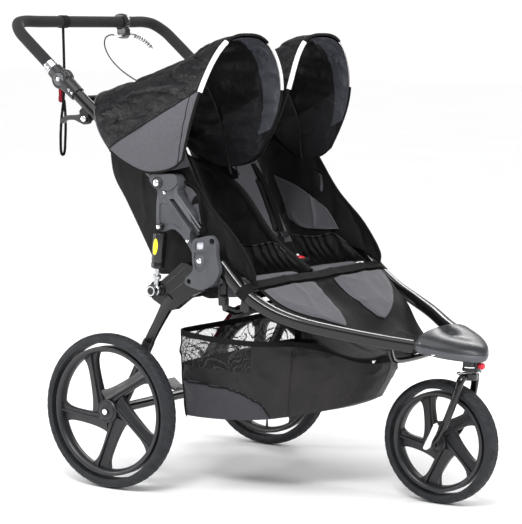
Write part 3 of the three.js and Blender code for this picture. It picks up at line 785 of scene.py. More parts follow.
SEAT_TUBE = [(316, 320, 598), (345, 320, 568), (385, 319, 531), (450, 307, 491), (520, 284, 465),
             (600, 236, 444),
             (680, 173, 424), (749, 122, 410)]
for side_name, side in SIDES:
    make(f"seat_tube_painted_{side_name}", [on_side(tube(SEAT_TUBE, 16, 8, 36, power=3.0), side)], PAINT,
         "chassis",
         f"seat_tube_{side_name}", sharp=60)
    band = [Vector((375, 319.5, 540)), Vector((385, 319, 531)), Vector((397, 317.5, 523))]
    make(f"seat_tube_band_{side_name}", [on_side(sweep(band, ring(17.6, 32, 3.0)), side)], BLACK_WEB,
         "chassis")
    low = along(HANDLE_HINGE, CANOPY_HINGE, 28)
    high = along(HANDLE_HINGE, CANOPY_HINGE, 386)
    ear = [(-120, 934), (-104, 934), (-96, 958), (-112, 976), (-128, 962)]
    pieces = [rod(low, high, 16, 36), plate(ear, 306, 311, 5), plate(ear, 328.5, 333.5, 5)]
    make(f"upper_tube_painted_{side_name}", [on_side(p, side) for p in pieces], PAINT, "upper_frame",
         f"upper_tube_{side_name}", bevel=1)
    make(f"release_bolt_{side_name}", [on_side(bolt_head(-112, 942, 334, 7.5), side)], CHROME, "upper_frame")
    lever = [(-100, 950), (-101, 930), (-118, 926), (-150, 938), (-178, 936), (-190, 926), (-196, 930),
             (-190, 944), (-172, 949),
             (-146, 950), (-122, 956)]
    make(f"release_lever_moulded_{side_name}", [on_side(plate(lever, 312.5, 327.5, 6), side)], PLASTIC,
         f"release_lever_{side_name}", f"fold_release_lever_{side_name}", bevel=2.4)

# ------------------------------------------------------------------ handlebar
def mirrored(points):
    return [*points, *[(p[0], -p[1], p[2]) for p in reversed(points)]]


def at_grip(distance, y):
    return tuple(along(HANDLE_HINGE, CROSSBAR, distance, y))


GRIP = [at_grip(28, 320), at_grip(90, 320), at_grip(150, 320), at_grip(190, 317), at_grip(222, 296),
        (CROSSBAR[0], 264, CROSSBAR[2]), (CROSSBAR[0], 200, CROSSBAR[2]), (CROSSBAR[0], 70, CROSSBAR[2])]
make("handlebar_foam", [tube(mirrored(GRIP), 15.5, 8, 36, (0.63, 0, 0.776))], FOAM, "handlebar",
     "handlebar_grip")
for side_name, side in SIDES:
    up = [at_grip(27, 320), at_grip(52, 320), at_grip(60, 320)]
    make(f"handlebar_collar_{side_name}", [on_side(rod(up[0], up[2], 17.2, 36), side)], STEEL, "handlebar")
    for name, y_low, y_high, toward, body in (("lower", 303, 319.7, CANOPY_HINGE, "upper_frame"),
                                              ("upper", 320.3, 338, CROSSBAR, "handlebar")):
        reach = 62 if name == "lower" else 38
        a, b = along(HANDLE_HINGE, toward, 8), along(HANDLE_HINGE, toward, reach)
        pieces = [disc(HANDLE_HINGE[0], HANDLE_HINGE[2], y_low, y_high, 25, 56, 2.5),
                  sweep([a, a.lerp(b, 0.5), b], ring(19, 36, 2.6), grow=lambda t: 1.08 - 0.1 * t)]
        if name == "upper":
            pieces.append(revolve([(0, 338), (20, 338), (21, 336.5), (21, 334), (0, 334)], (-191, 0, 1041),
                                  segments=48))
        hub = make(f"handle_hub_moulded_{name}_{side_name}", [on_side(p, side) for p in pieces], PLASTIC,
                   body,
                   f"handle_hub_{name}_{side_name}", bevel=1)
    make(f"handle_badge_{side_name}", [on_side(disc(-191, 1041, 336.6, 340, 17, 48, 1), side)], CASTING,
         "handlebar")
    make(f"handle_bolt_{side_name}", [on_side(bolt_head(-191, 1041, 340, 6), side)], CHROME, "handlebar")
    for index, distance in enumerate((44, 56)):
        for toward, body in ((CROSSBAR, "handlebar"), (CANOPY_HINGE, "upper_frame")):
            p = along(HANDLE_HINGE, toward, distance)
            make(f"hub_screw_{body}_{index}_{side_name}", [on_side(bolt_head(p.x, p.z,
                338 if index else 337.4, 4), side)],
                 CHROME, body)

# Hand brake: clamp, perch, lever and its barrel.
clamp = [revolve([(15.8, 150), (21, 150), (22, 151.5), (22, 170.5), (21, 172), (15.8, 172), (15.8, 150)],
                 (CROSSBAR[0], 0, CROSSBAR[2]), segments=40),
         plate([(-382, 1172), (-354, 1172), (-349, 1152), (-360, 1140), (-378, 1143)], 150, 172, 5),
         plate([(-395, 1196), (-389, 1206), (-376, 1211), (-362, 1208), (-358, 1204), (-372, 1203),
                (-388, 1194)], 152, 170, 2)]
make("brake_perch", clamp, GLOSS, "handlebar", "brake_clamp", bevel=1)
make("brake_barrel", [rod((-363, 151, 1150), (-366, 122, 1151), 4.5, 20),
                      rod((-365, 134, 1151), (-366, 127, 1151), 6, 20)],
     CHROME, "handlebar")
make("brake_clamp_screws", [bolt_head(-352, 1164, 171, 3.4), bolt_head(-376, 1152, 171, 3.4)], CHROME,
     "handlebar")
LEVER = [(-362, 176, 1151), (-361, 190, 1150), (-359, 205, 1148), (-353, 238, 1136), (-346, 268, 1114)]
serrations = []
lever_line = catmull(LEVER, 8)
for i in range(14, len(lever_line) - 1, 2):
    serrations.append(revolve([(3.6, -0.8), (5.4, -0.8), (5.4, 0.8), (3.6, 0.8), (3.6, -0.8)], lever_line[i],
                              lever_line[i + 1] - lever_line[i - 1], 20))
make("brake_lever_blade", [sweep(lever_line, ring(4.7, 20, 2.6, 0.85), grow=lambda t: 1.15 - 0.3 * t),
                           disc(-362, 1151, 175, 183, 6, 24)], CHROME, "brake_lever", "brake_lever")
make("brake_lever_grip_ribs", serrations, PLASTIC, "brake_lever")

# Wrist strap: two legs of webbing around the crossbar, a red tab and a stitched loop.
loop = [(-371, -100, 1171), (-369, -99, 1100), (-368, -98, 1030), (-370, -99, 975), (-372, -104, 930),
        (-373, -107, 870),
        (-372, -103, 829), (-370, -97, 829), (-368, -93, 870), (-367, -94, 930), (-368, -98, 975)]
make("wrist_strap_loop", [sweep(catmull(loop, 6), strip(9, 2.4), (1, 0, 0))], BLACK_WEB, "wrist_strap",
     "wrist_strap")
make("wrist_strap_wrap", [revolve([(16, -113), (17.6, -112), (17.6, -88), (16, -87), (16, -113)],
                                  (CROSSBAR[0], 0, CROSSBAR[2]), segments=36)], BLACK_WEB, "handlebar")
make("wrist_strap_tab", [plate([(-384, 1010), (-378, 1018), (-372, 1012), (-373, 990), (-371, 972),
                                (-378, 968), (-384, 974),
                                (-382, 992)], -105, -95, 3)], RED_WEB, "wrist_strap", bevel=1)

# ------------------------------------------------------------------ side castings and knuckles
CASTING_SHAPE = [(112, 812), (183, 815), (194, 792), (186, 768), (231, 717), (231, 684), (226, 655),
                 (250, 622), (286, 616),
                 (284, 588), (262, 580), (243, 596), (232, 628), (203, 664), (177, 680), (147, 668),
                 (126, 670), (123, 700),
                 (124, 745), (128, 772), (110, 782), (98, 800)]
SLOT = [(163, 752), (177, 754), (257, 668), (244, 662)]
CHEEK = [(246, 657), (304, 672), (319, 654), (320, 617), (331, 583), (313, 550), (275, 531), (243, 537),
         (224, 544), (225, 557),
         (251, 580), (246, 605)]
SADDLE = [(292, 594), (306, 582), (334, 554), (313, 549), (290, 536), (284, 560)]


def prism(outline, y_low, y_high, radius=3):
    return plate(outline, y_low, y_high, radius, 3)


for side_name, side in SIDES:
    casting = make(f"casting_moulded_{side_name}", [on_side(plate(CASTING_SHAPE, 303, 335.5, 12, 6), side)],
                   CASTING)
    carve(casting, on_side(prism(SLOT, 327, 345), side))
    carve(casting, on_side(prism([(133, 740), (160, 742), (206, 690), (204, 676), (176, 690), (146, 682),
                                  (134, 690)], 333.6, 345,
                                 8), side))
    edge = casting.modifiers.new("edges", "BEVEL")
    edge.width = 1.8 * MM
    edge.segments = 3
    edge.limit_method = "ANGLE"
    edge.angle_limit = math.radians(50)
    shade(casting, 30)
    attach(casting, "upper_frame")
    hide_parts(f"side_casting_{side_name}")
    make(f"casting_slot_dark_{side_name}", [on_side(prism([(166, 751), (175, 752), (254, 668), (245, 665)],
                                                          325, 327.4), side)],
         GLOSS, "upper_frame")
    ribs = []
    for shift in (0, 9):
        a, b = Vector((181 + shift, 334.5, 757 + shift * 0.6)), Vector((256 + shift * 0.4, 334.5,
                                                                        676 + shift))
        ribs.append(rod(a, b, 2.3, 16))
    make(f"casting_ribs_{side_name}", [on_side(r, side) for r in ribs], CASTING, "upper_frame")
    make(f"casting_screws_{side_name}", [on_side(bolt_head(x, z, 335.5, 4.6), side) for x, z in
                                         ((163, 812 - 6), (150, 767), (222, 650))], CHROME, "upper_frame")
    bracket = [(106, 812), (183, 816), (193, 794), (168, 772), (126, 776)]
    make(f"canopy_bracket_{side_name}", [on_side(plate(bracket, 335.7, 339.5, 9), side)], CASTING,
         "upper_frame", bevel=1)
    make(f"canopy_pivot_ring_{side_name}", [on_side(disc(129, 791, 337, 344, 15, 48, 1.5), side)], PLASTIC,
         "upper_frame")
    make(f"canopy_pivot_bolt_{side_name}", [on_side(bolt_head(129, 791, 345, 8.5), side)], CHROME,
         "upper_frame")

    cheek = make(f"knuckle_cheek_{side_name}", [on_side(plate(CHEEK, 336.4, 351, 12, 6), side)], CASTING)
    carve(cheek, on_side(prism([(255, 651), (281, 653), (279, 634), (256, 631)], 345, 360, 5), side))
    carve(cheek, on_side(disc(306, 656, 330, 360, 7.5, 32, 0.1), side))
    carve(cheek, on_side(disc(237, 551, 330, 360, 6.5, 32, 0.1), side))
    carve(cheek, on_side(prism([(252, 626), (296, 630), (299, 604), (292, 586), (270, 576), (256, 584)],
                               348.6, 360, 9), side))
    edge = cheek.modifiers.new("edges", "BEVEL")
    edge.width = 1.8 * MM
    edge.segments = 3
    edge.limit_method = "ANGLE"
    edge.angle_limit = math.radians(50)
    shade(cheek, 30)
    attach(cheek, "chassis")
    saddle = make(f"knuckle_saddle_{side_name}", [on_side(plate(SADDLE, 304, 338, 6), side)], PLASTIC,
                  "chassis", bevel=2)
    for piece in (cheek, saddle):
        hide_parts(f"fold_knuckle_{side_name}")
    make(f"knuckle_window_{side_name}", [on_side(prism([(257, 650), (280, 652), (278, 635), (257, 632)], 344,
                                                       346, 4), side)],
         LIGHT, "chassis")
    make(f"knuckle_boss_{side_name}", [on_side(disc(269, 605, 348, 350.6, 15, 48, 1), side)], CASTING,
         "chassis")
    make(f"knuckle_bolt_{side_name}", [on_side(bolt_head(269, 605, 351, 7), side)], CHROME, "chassis")

# ------------------------------------------------------------------ swing arms, axle and shocks
BLADE = [(97, 518), (106, 541), (129, 538), (204, 597), (232, 586), (262, 578), (282, 556), (276, 532),
         (233, 515), (205, 494),
         (170, 467), (140, 478), (104, 496)]
LEG = [(164, 317, 506), (150, 317, 485), (122, 317, 438), (92, 317, 386), (60, 317, 318), (26, 317, 250),
       (6, 317, 212)]


def leg_width(t):
    """The swing arm's leg is widest at the pivot and round from the collar down."""
    return 1.0 + 0.42 * soften(1 - t / 0.42)


SHOCK_TOP, SHOCK_EYE = Vector((139, 337, 681)), Vector((125, 337, 519))
for side_name, side in SIDES:
    leg = sweep(catmull(LEG, 8), ring(13.5, 32), grow=leg_width)
    pieces = [plate(BLADE, 304, 330, 14, 6), leg, disc(0, 200, 304, 336, 20, 48, 2)]
    make(f"swing_arm_painted_{side_name}", [on_side(p, side) for p in pieces], PAINT, "swing_arm",
         f"swing_arm_{side_name}", bevel=2.5)
    lines = [rod((141, 329.6, 528), (213, 329.6, 584), 1.7, 12),
             rod((163, 329.6, 511), (222, 329.6, 557), 1.7, 12)]
    make(f"swing_arm_ridges_{side_name}", [on_side(p, side) for p in lines], PAINT, "swing_arm")
    make(f"swing_arm_screw_{side_name}", [on_side(bolt_head(160, 499, 330, 5.2), side)], CHROME, "swing_arm")
    collar = [(90, 317, 384), (84, 317, 372), (78, 317, 360)]
    make(f"swing_arm_collar_{side_name}", [on_side(sweep([Vector(p) for p in collar], ring(15.4, 32)), side)],
         PLASTIC,
         "swing_arm")
    axis = (SHOCK_EYE - SHOCK_TOP).normalized()
    can = [(0, 13), (11, 13), (16.5, 17), (17, 20), (17, 86), (16, 88), (16, 91), (17, 93), (17, 103),
           (14, 106), (12.5, 106),
           (12.5, 92), (8, 92), (8, 38), (0, 38)]
    make(f"shock_can_{side_name}", [on_side(revolve(can, SHOCK_TOP, axis, 48), side),
                                    on_side(disc(139, 681, 326, 346, 9, 32), side)], GLOSS, "upper_frame",
         f"shock_body_{side_name}", bevel=0.5)
    make(f"shock_top_bolt_{side_name}", [on_side(bolt_head(139, 681, 346.5, 6), side)], CHROME, "upper_frame")
    steel_rod = rod(SHOCK_TOP + axis * 72, SHOCK_EYE - axis * 9, 6.2, 28)
    lower = revolve([(6, 122), (10, 123), (11, 126), (11, 131), (9, 134), (6, 134), (6, 122)], SHOCK_TOP,
                    axis, 32)
    make(f"shock_rod_chromed_{side_name}", [on_side(steel_rod, side), on_side(lower, side),
                                            on_side(disc(125, 519, 330.5, 343.5, 13, 40, 2), side)], STEEL,
         f"shock_rod_{side_name}", f"shock_rod_{side_name}")
    make(f"shock_knob_{side_name}", [on_side(disc(121, 518, 344.2, 353, 16, 48, 3), side)], GLOSS,
         f"shock_rod_{side_name}")
    make(f"shock_knob_ring_{side_name}", [on_side(revolve([(11, 352), (12.5, 354.5), (9.5, 354.5), (9, 352),
                                                           (11, 352)],
                                                          (121, 0, 518), segments=40), side)], CHROME,
                                                          f"shock_rod_{side_name}")
    middle = SHOCK_TOP + axis * 50
    badge = []
    rows = 14
    for i in range(rows + 1):
        high = -21 + 42 * i / rows
        wide = 0.42 * math.sqrt(max(0.0, 1 - (high / 21.01) ** 2))
        line = []
        for j in range(9):
            turn = wide * (j / 4 - 1)
            out = Vector((math.sin(turn), math.cos(turn), 0)) * 17.5
            line.append(middle + out - axis * high)
        badge.append(line)
    make(f"shock_badge_{side_name}", [on_side(grid_shape(badge), side)], YELLOW, "upper_frame", thick=0.6)

PLAIN = {
    "seat_cross_frame": PAINT, "foot_rest_bar": PAINT, "upper_cross_frame": PAINT, "rear_axle": PAINT,
    "parking_brake_pedal": PLASTIC, "swing_pivot_pin_left": STEEL, "swing_pivot_pin_right": STEEL,
    "head_tube": GLOSS,
    "seat_hinge_rod": PAINT,
}
for node, look in PLAIN.items():
    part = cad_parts[node]
    part.data.materials.clear()
    part.data.materials.append(look)

# ------------------------------------------------------------------ nose, fork and front fittings
NOSE_HALF = [(762, 0), (762, 60), (762, 90), (763, 112), (764, 132), (772, 134), (790, 124), (822, 104),
             (852, 74), (876, 38),
             (886, 14), (889, 0)]


def nose_ring(scale, lift, tilt=-0.23):
    """The nose's outline drawn in about its middle and lifted above its sloping base."""
    half = catmull([(x, y, 0) for x, y in NOSE_HALF[4:]], 4)
    half = [Vector((762, y, 0)) for y in (0, 50, 100)] + half
    whole = half + [Vector((p.x, -p.y, 0)) for p in reversed(half[1:-1])]
    out = []
    for p in whole:
        x = 768 + (p.x - 768) * scale
        out.append(Vector((x, p.y * scale, 415 + tilt * (p.x - 765) + lift)))
    return out


def ring_stack(rings, cap_low=True, cap_high=True):
    count = len(rings[0])
    points = [p for one in rings for p in one]
    faces = []
    for i in range(len(rings) - 1):
        for j in range(count):
            k = (j + 1) % count
            faces.append([i * count + j, i * count + k, (i + 1) * count + k, (i + 1) * count + j])
    if cap_low:
        faces.append(list(range(count)))
    if cap_high:
        faces.append([(len(rings) - 1) * count + j for j in range(count)])
    return points, faces


def nose_dome():
    rings = [nose_ring(1.0, 0.3), nose_ring(1.0, 2)]
    for i in range(1, 15):
        a = math.pi / 2 * i / 15
        rings.append(nose_ring(math.cos(a) ** 0.75, 2 + 32 * math.sin(a), -0.23 + 0.04 * math.sin(a)))
    rings.append(nose_ring(0.08, 34.5, -0.19))
    return ring_stack(rings)


nose = make("nose_dome", [nose_dome()], NOSE, "chassis", "nose_cover", sharp=50)
band = [nose_ring(0.8, -20), nose_ring(0.93, -19), nose_ring(0.985, -15), nose_ring(1.0, -9),
        nose_ring(1.0, -1.5),
        nose_ring(0.99, -0.2)]
make("nose_band", [ring_stack(band)], CASTING, "chassis", "nose_shell", sharp=50)
for side_name, side in SIDES:
    p, q = Vector((803, 112.5 * side, 396)), Vector((0.46, 0.88 * side, 0))
    make(f"nose_bolt_{side_name}", [revolve([(0, -3), (7, -3), (7, 0.5), (5.4, 2.4), (3.2, 2.6), (2.8, 0.8),
                                             (0, 0.8)], p, q, 32)],
         CHROME, "chassis")

make("head_collar", [revolve([(0, 343), (17, 343), (20, 344), (20, 350), (18.4, 351), (18.4, 352), (0, 352)],
                             (845, 0, 0),
                             (0, 0, 1), 48)], GLOSS, "chassis")
make("head_ring", [revolve([(18.2, 352.2), (19.4, 352.6), (19.4, 355), (18.2, 355.4), (18.2, 352.2)],
                           (845, 0, 0), (0, 0, 1),
                           48)], CHROME, "chassis")
make("swivel_knob_red", [revolve([(0, 0), (4, 0), (4, 5), (6.5, 6), (8, 9), (8, 17), (6, 20), (0, 21)],
                                 (864, 0, 358),
                                 (1, 0, 0), 32)], RED_PLASTIC, "swivel_lock", "swivel_lock_knob")
make("swivel_lock_housing", [plate([(862, 342), (869, 342), (869, 374), (862, 374)], -9, 9, 2)], PLASTIC,
     "chassis", bevel=1)

FORK_LEG = [(843, 30, 331), (840, 38, 322), (835, 43, 298), (825, 48, 262), (807, 52, 214), (788, 54, 178),
            (770, 54, 160)]
fork = [revolve([(0, 321), (19, 321), (21, 323), (21, 336), (19, 338), (0, 338)], (843, 0, 0), (0, 0, 1), 48)]
for side in (1, -1):
    fork.append(on_side(sweep(catmull(FORK_LEG, 8), ring(9, 28, 2.4, 0.8), (0, 1, 0),
                              grow=lambda t: 1.15 - 0.25 * t), side))
    fork.append(on_side(revolve([(0, 48), (15, 48), (16, 49), (16, 58), (15, 59), (0, 59)], (767, 0, 157),
                                segments=40), side))
    fork.append(on_side(rod((843, 14, 330), (841, 40, 326), 8.6, 24), side))
make("fork_painted", fork, PAINT, "fork", "fork", bevel=0.8)
make("front_axle_chromed", [rod((767, -73, 157), (767, 66, 157), 5, 24), disc(767, 157, 59.5, 66, 9, 24),
                            disc(767, 157, -67, -59.5, 9, 24)], CHROME, "fork")
for y in (-1, 1):
    for x, reach in ((826, -24), (862, 12)):
        if (x < 840) == (y < 0):
            make(f"collar_stud_{'front' if x > 840 else 'rear'}",
                 [revolve([(0, 0), (2.6, 0), (2.6, 20), (4.6, 21), (4.6, 27), (3, 28.5), (0, 28.5)],
                          (845, y * 12, 338), (-0.62 if x < 840 else 0.62, y * 0.78, 0.05), 20)], CHROME,
                          "fork")
quick = [(759, 150), (768, 146), (779, 152), (786, 172), (797, 192), (803, 213), (797, 219), (789, 215),
         (779, 192), (768, 170)]
make("quick_release_polished", [plate(quick, -80, -74, 5)], CHROME, "quick_release", "quick_release_lever",
     bevel=2)

# ------------------------------------------------------------------ cloth helpers
def resample(points, count, smooth=True):
    """Evenly spaced places along a line."""
    line = catmull(points, 8) if smooth else [Vector(p) for p in points]
    lengths = [0.0]
    for a, b in zip(line, line[1:]):
        lengths.append(lengths[-1] + (b - a).length)
    out, at = [], 0
    for i in range(count):
        want = lengths[-1] * i / (count - 1)
        while at < len(line) - 2 and lengths[at + 1] < want:
            at += 1
        gap = lengths[at + 1] - lengths[at]
        out.append(line[at].lerp(line[at + 1], min(1.0, max(0.0, (want - lengths[at]) / gap)) if gap else 0))
    return out


def patch(top, bottom, rear, front, across, down, shape=None, smooth=True):
    """A grid that fills four edges. Top and bottom run rear to front, rear and front run top to bottom."""
    t, b = resample(top, across, smooth), resample(bottom, across, smooth)
    r, f = resample(rear, down, smooth), resample(front, down, smooth)
    grid = []
    for i in range(down):
        v = i / (down - 1)
        line = []
        for j in range(across):
            u = j / (across - 1)
            p = (t[j] * (1 - v) + b[j] * v + r[i] * (1 - u) + f[i] * u
                 - t[0] * (1 - u) * (1 - v) - t[-1] * u * (1 - v) - b[0] * (1 - u) * v - b[-1] * u * v)
            line.append(p + shape(u, v, p) if shape else p)
        grid.append(line)
    return grid


def flat_size(grid):
    """An estimate of a sheet's width, length and area, in metres, taken from the drawn shape itself.

    It is the smallest rectangle round the shape, or its lengths along the surface where that is curved.
    """
    middle = grid[len(grid) // 2][len(grid[0]) // 2]
    corners = [grid[0][0], grid[0][-1], grid[-1][0], grid[-1][-1]]
    long_way = max((q - p for p in corners for q in corners), key=lambda d: d.length).normalized()
    normal = (grid[len(grid) // 2][-1] - middle).cross(grid[-1][len(grid[0]) // 2] - middle).normalized()
    best = None
    for turn in range(0, 180, 5):
        u = Matrix.Rotation(math.radians(turn), 3, normal) @ long_way
        v = normal.cross(u)
        sizes = []
        for axis in (u, v):
            along_axis = [(p - middle).dot(axis) for line in grid for p in line]
            sizes.append(max(along_axis) - min(along_axis))
        if best is None or sizes[0] * sizes[1] < best[0] * best[1]:
            best = sizes
    area = 0.0
    for a, b in zip(grid, grid[1:]):
        for j in range(len(a) - 1):
            area += ((a[j + 1] - a[j]).cross(b[j] - a[j]).length
                     + (b[j] - b[j + 1]).cross(a[j + 1] - b[j + 1]).length) / 2
    across = max(sum((q - p).length for p, q in zip(line, line[1:])) for line in grid)
    down = max(sum((b[j] - a[j]).length for a, b in zip(grid, grid[1:])) for j in range(len(grid[0])))
    if area > best[0] * best[1] * 1.1:
        best = (across, down)
    return (best[0] * MM, best[1] * MM), min(area, best[0] * best[1]) * MM * MM


def cloth(name, grid, material, body, thick=1.6, replaces=(),
          levels=0):
    """A sheet of cloth from a grid of places, with sizes estimated from its own shape."""
    obj = make(name, [grid_shape(grid)], material, body, replaces, thick=thick, sharp=80, levels=levels)
    flat, area = flat_size(grid)
    min(area, flat[0] * flat[1])
    return obj


def wrinkle(p, size, depth, seed=0.0):
    """Folds of cloth: rounded valleys between sharper ridges."""
    at = Vector((p.x / size[0] + seed, p.y / size[1], p.z / size[2] - seed))
    ridge = 1 - abs(noise.noise(at)) * 2
    fine = noise.noise(at * 2.7)
    return depth * (max(0.0, ridge) ** 3 + 0.25 * fine - 0.25)


def edge_fade(u, v, rim=0.06):
    """1 inside a patch, falling to 0 at its rim."""
    return soften(min(u, 1 - u, v, 1 - v) / rim)


# ------------------------------------------------------------------ basket
RIM_LINE = [(150, 0, 408), (150, 110, 409), (150, 200, 410), (154, 262, 410), (178, 290, 410),
            (273, 298, 404), (388, 288, 402),
            (464, 204, 398), (524, 146, 382), (580, 98, 358), (608, 54, 352), (618, 0, 352)]
WAIST_LINE = [(140, 0, 300), (140, 105, 300), (140, 190, 300), (145, 246, 300), (168, 274, 300),
              (270, 284, 300), (394, 268, 302),
              (472, 186, 306), (526, 130, 308), (568, 92, 308), (594, 50, 306), (604, 0, 306)]
FLOOR_LINE = [(131, 0, 190), (131, 90, 189), (131, 170, 188), (135, 218, 188), (156, 243, 189),
              (271, 250, 192), (392, 236, 203),
              (466, 160, 214), (512, 108, 224), (548, 76, 236), (566, 42, 243), (574, 0, 246)]


def basket_grid(side, rows=46, columns=150, inset=0.0):
    """One half of the basket's wall, from the middle of its back to its nose, rim first."""
    rim, waist, floor = (resample(line, columns) for line in (RIM_LINE, WAIST_LINE, FLOOR_LINE))
    grid = []
    for i in range(rows):
        v = i / (rows - 1)
        line = []
        for j in range(columns):
            a, b, c = rim[j], waist[j], floor[j]
            p = a * (2 * (v - 0.5) * (v - 1)) + b * (4 * v * (1 - v)) + c * (2 * v * (v - 0.5))
            out = Vector((p.x - 330, p.y * 1.2, 0)).normalized()
            fade = edge_fade(0.5, v, 0.12)
            folds = math.sin(p.x / 7.5 + 1.5 * math.sin(p.x / 31)) * 2.6 * soften((p.x
                - 300) / 60) * soften((520 - p.x) / 60)
            folds *= soften(1 - v * 1.3)
            bulge = 6 * math.sin(math.pi * v) * soften((p.x - 470) / 100)
            p = p + out * (fade * (wrinkle(p, (90, 70, 60), 5.0, 3.1) + bulge) + folds * fade - inset)
            line.append(Vector((p.x, p.y * side, p.z)))
        grid.append(line)
    return grid


FLAP, MESH, LOWER_PANEL, GATHERS = range(4)
BASKET_CLOTHS = [BASKET_FABRIC, NET, BASKET_GREY, NYLON]


def basket_material(p):
    """The cloth at a place: net high at the rear, a grey panel under an arc, then gathers and the flap."""
    lower = 291 - 11 * (p.x - 128) / 176 if p.x < 304 else 280 - 33 * ((p.x - 304) / 88) ** 1.6
    gather = 386 - 0.12 * (400 - p.z)
    flap = 462 - 0.3 * (400 - p.z)
    if p.x < gather and p.z > 327:
        return MESH
    if p.x < 408 and p.z < lower and p.x < 392 + 0.35 * (247 - p.z):
        return LOWER_PANEL
    if p.x < flap:
        return GATHERS
    edge = 366 + 9 * math.sin((p.x - 470) / 30) - 0.16 * max(0, p.x - 560)
    return MESH if p.z > edge and p.x < 590 else FLAP


for side_name, side in SIDES:
    grid = basket_grid(side)
    wall = cloth(f"basket_wall_{side_name}", grid, BASKET_CLOTHS, "chassis", thick=0,
                 replaces="basket")
    for face in wall.data.polygons:
        c = face.center
        place = Vector((c.x * 1000 + MIDDLE_X, c.y * 1000, c.z * 1000))
        face.material_index = basket_material(place)
    rim = [p + Vector((0, 0, -1)) for p in grid[0]]
    make(f"basket_binding_{side_name}", [sweep(rim, strip(14, 4.6), ups=[Vector((p.x - 330, p.y,
        0)) for p in rim])],
         BLACK_WEB, "chassis")
    seam = []
    for j in range(0, 150):
        for i in range(1, 46):
            if basket_material(grid[i][j]) == LOWER_PANEL != basket_material(grid[i - 1][j]):
                seam.append(grid[i][j] + Vector((0, side * 1.2, 0)))
                break
    make(f"basket_seam_{side_name}", [sweep(seam, ring(1.6, 10))], BLACK_WEB, "chassis")
    rear, ahead = [min(range(150), key=lambda j: (grid[0][j] - Vector((x, y * side, 404))).length)
                   for x, y in ((158, 284), (462, 213))]
    corner = [line[rear] + Vector((-0.6, side * 0.6, 0)) for line in grid]
    make(f"basket_corner_{side_name}", [sweep(corner, strip(20, 3), ups=[Vector((-0.8, side * 0.6,
        0))] * len(corner))],
         BLACK_WEB, "chassis")
    flap_seam = [line[ahead] + Vector((0, side * 0.8, 0)) for line in grid]
    make(f"basket_flap_seam_{side_name}", [sweep(flap_seam, ring(1.8, 10), (0.6, side * 0.8, 0))],
         BASKET_FABRIC, "chassis")
    snap = min((p for line in grid for p in line), key=lambda p: (p - Vector((600, 60 * side, 352))).length)
    make(f"basket_snap_{side_name}", [revolve([(0, 0), (6, 0), (6, 2), (4, 3.4), (0, 3.6)], snap, (0.7,
        0.7 * side, 0), 24)],
         CHROME, "chassis")

floor_line = resample(FLOOR_LINE, 60)
floor_grid = []
for i in range(25):
    w = -1 + 2 * i / 24
    floor_grid.append([Vector((p.x, p.y * w, p.z + 3 - 7 * (1 - w * w) * math.sin(math.pi * min(1,
        p.y / 250))))
                       for p in floor_line])
cloth("basket_floor", floor_grid, BASKET_FABRIC, "chassis", thick=2.4)

# ------------------------------------------------------------------ canopies
STATIONS = [((210, 852), (283, 1148), (285, 1163)), ((179, 830), (222, 1130), (221, 1152)),
            ((98, 816), (112, 1084), (128, 1101)),
            ((30, 838), (0, 1036), (5, 1054)), ((-18, 866), (-78, 1000), (-128, 1011))]
BOW_NORMAL = Vector((0.9816, 0, 0.19))
BOW_PLACE = Vector((129, 0, 791))
PANEL_LINE = (Vector((-23, 0, 868)), Vector((256, 0, 1024)))


ROUND = 0.7                    # 0.5 makes a hoop squarer, 1 makes it a half circle
CANOPY_MIDDLE_Y = 176
CANOPY_HALF_WIDTH = 168
CANOPY_TALL = 265              # only sets how evenly the places round the arch are spaced
CANOPY_HEART = Vector((60, CANOPY_MIDDLE_Y, 880))


def hoop_point(low, flank, crown, turn, inset, full):
    """A place on one hoop of the canopy, swollen outward at its middle heights, and forward by full."""
    c = -math.cos(turn)
    wide = math.copysign(abs(c) ** ROUND, c)
    high = max(0.0, math.sin(turn)) ** ROUND
    top = flank.lerp(crown, 1 - wide ** 4)
    p = low.lerp(top, high * (1 - inset / 180))
    swell = math.sin(math.pi * high) if high < 1 else 0.0
    p.x += full * swell * (34 if wide < 0 else 14)
    side_swell = swell * (22 if wide > 0 else 5) * abs(wide)
    return Vector((p.x, CANOPY_MIDDLE_Y + (CANOPY_HALF_WIDTH - inset) * wide + side_swell * math.copysign(1,
        wide), p.z))


def canopy_turns(count):
    """Places round the arch, evenly spaced along it."""
    samples = [math.pi * i / 600 for i in range(601)]
    arc, total = [0.0], 0.0
    flat = []
    for a in samples:
        c = math.cos(a)
        flat.append((CANOPY_HALF_WIDTH * math.copysign(abs(c) ** ROUND, c),
                     CANOPY_TALL * max(0.0, math.sin(a)) ** ROUND))
    for a, b in zip(flat, flat[1:]):
        total += math.dist(a, b)
        arc.append(total)
    out, at = [], 0
    for i in range(count):
        want = total * i / (count - 1)
        while at < 599 and arc[at + 1] < want:
            at += 1
        out.append(samples[at] + (samples[at + 1] - samples[at]) * min(1.0,
                                                                       (want - arc[at]) / (arc[at + 1]
                                                                       - arc[at])))
    return out


def above_panel(p):
    """How far a place lies above the line between the black and the grey cloth."""
    a, b = PANEL_LINE
    d = (b - a).normalized()
    return (p.z - a.z) * d.x - (p.x - a.x) * d.z


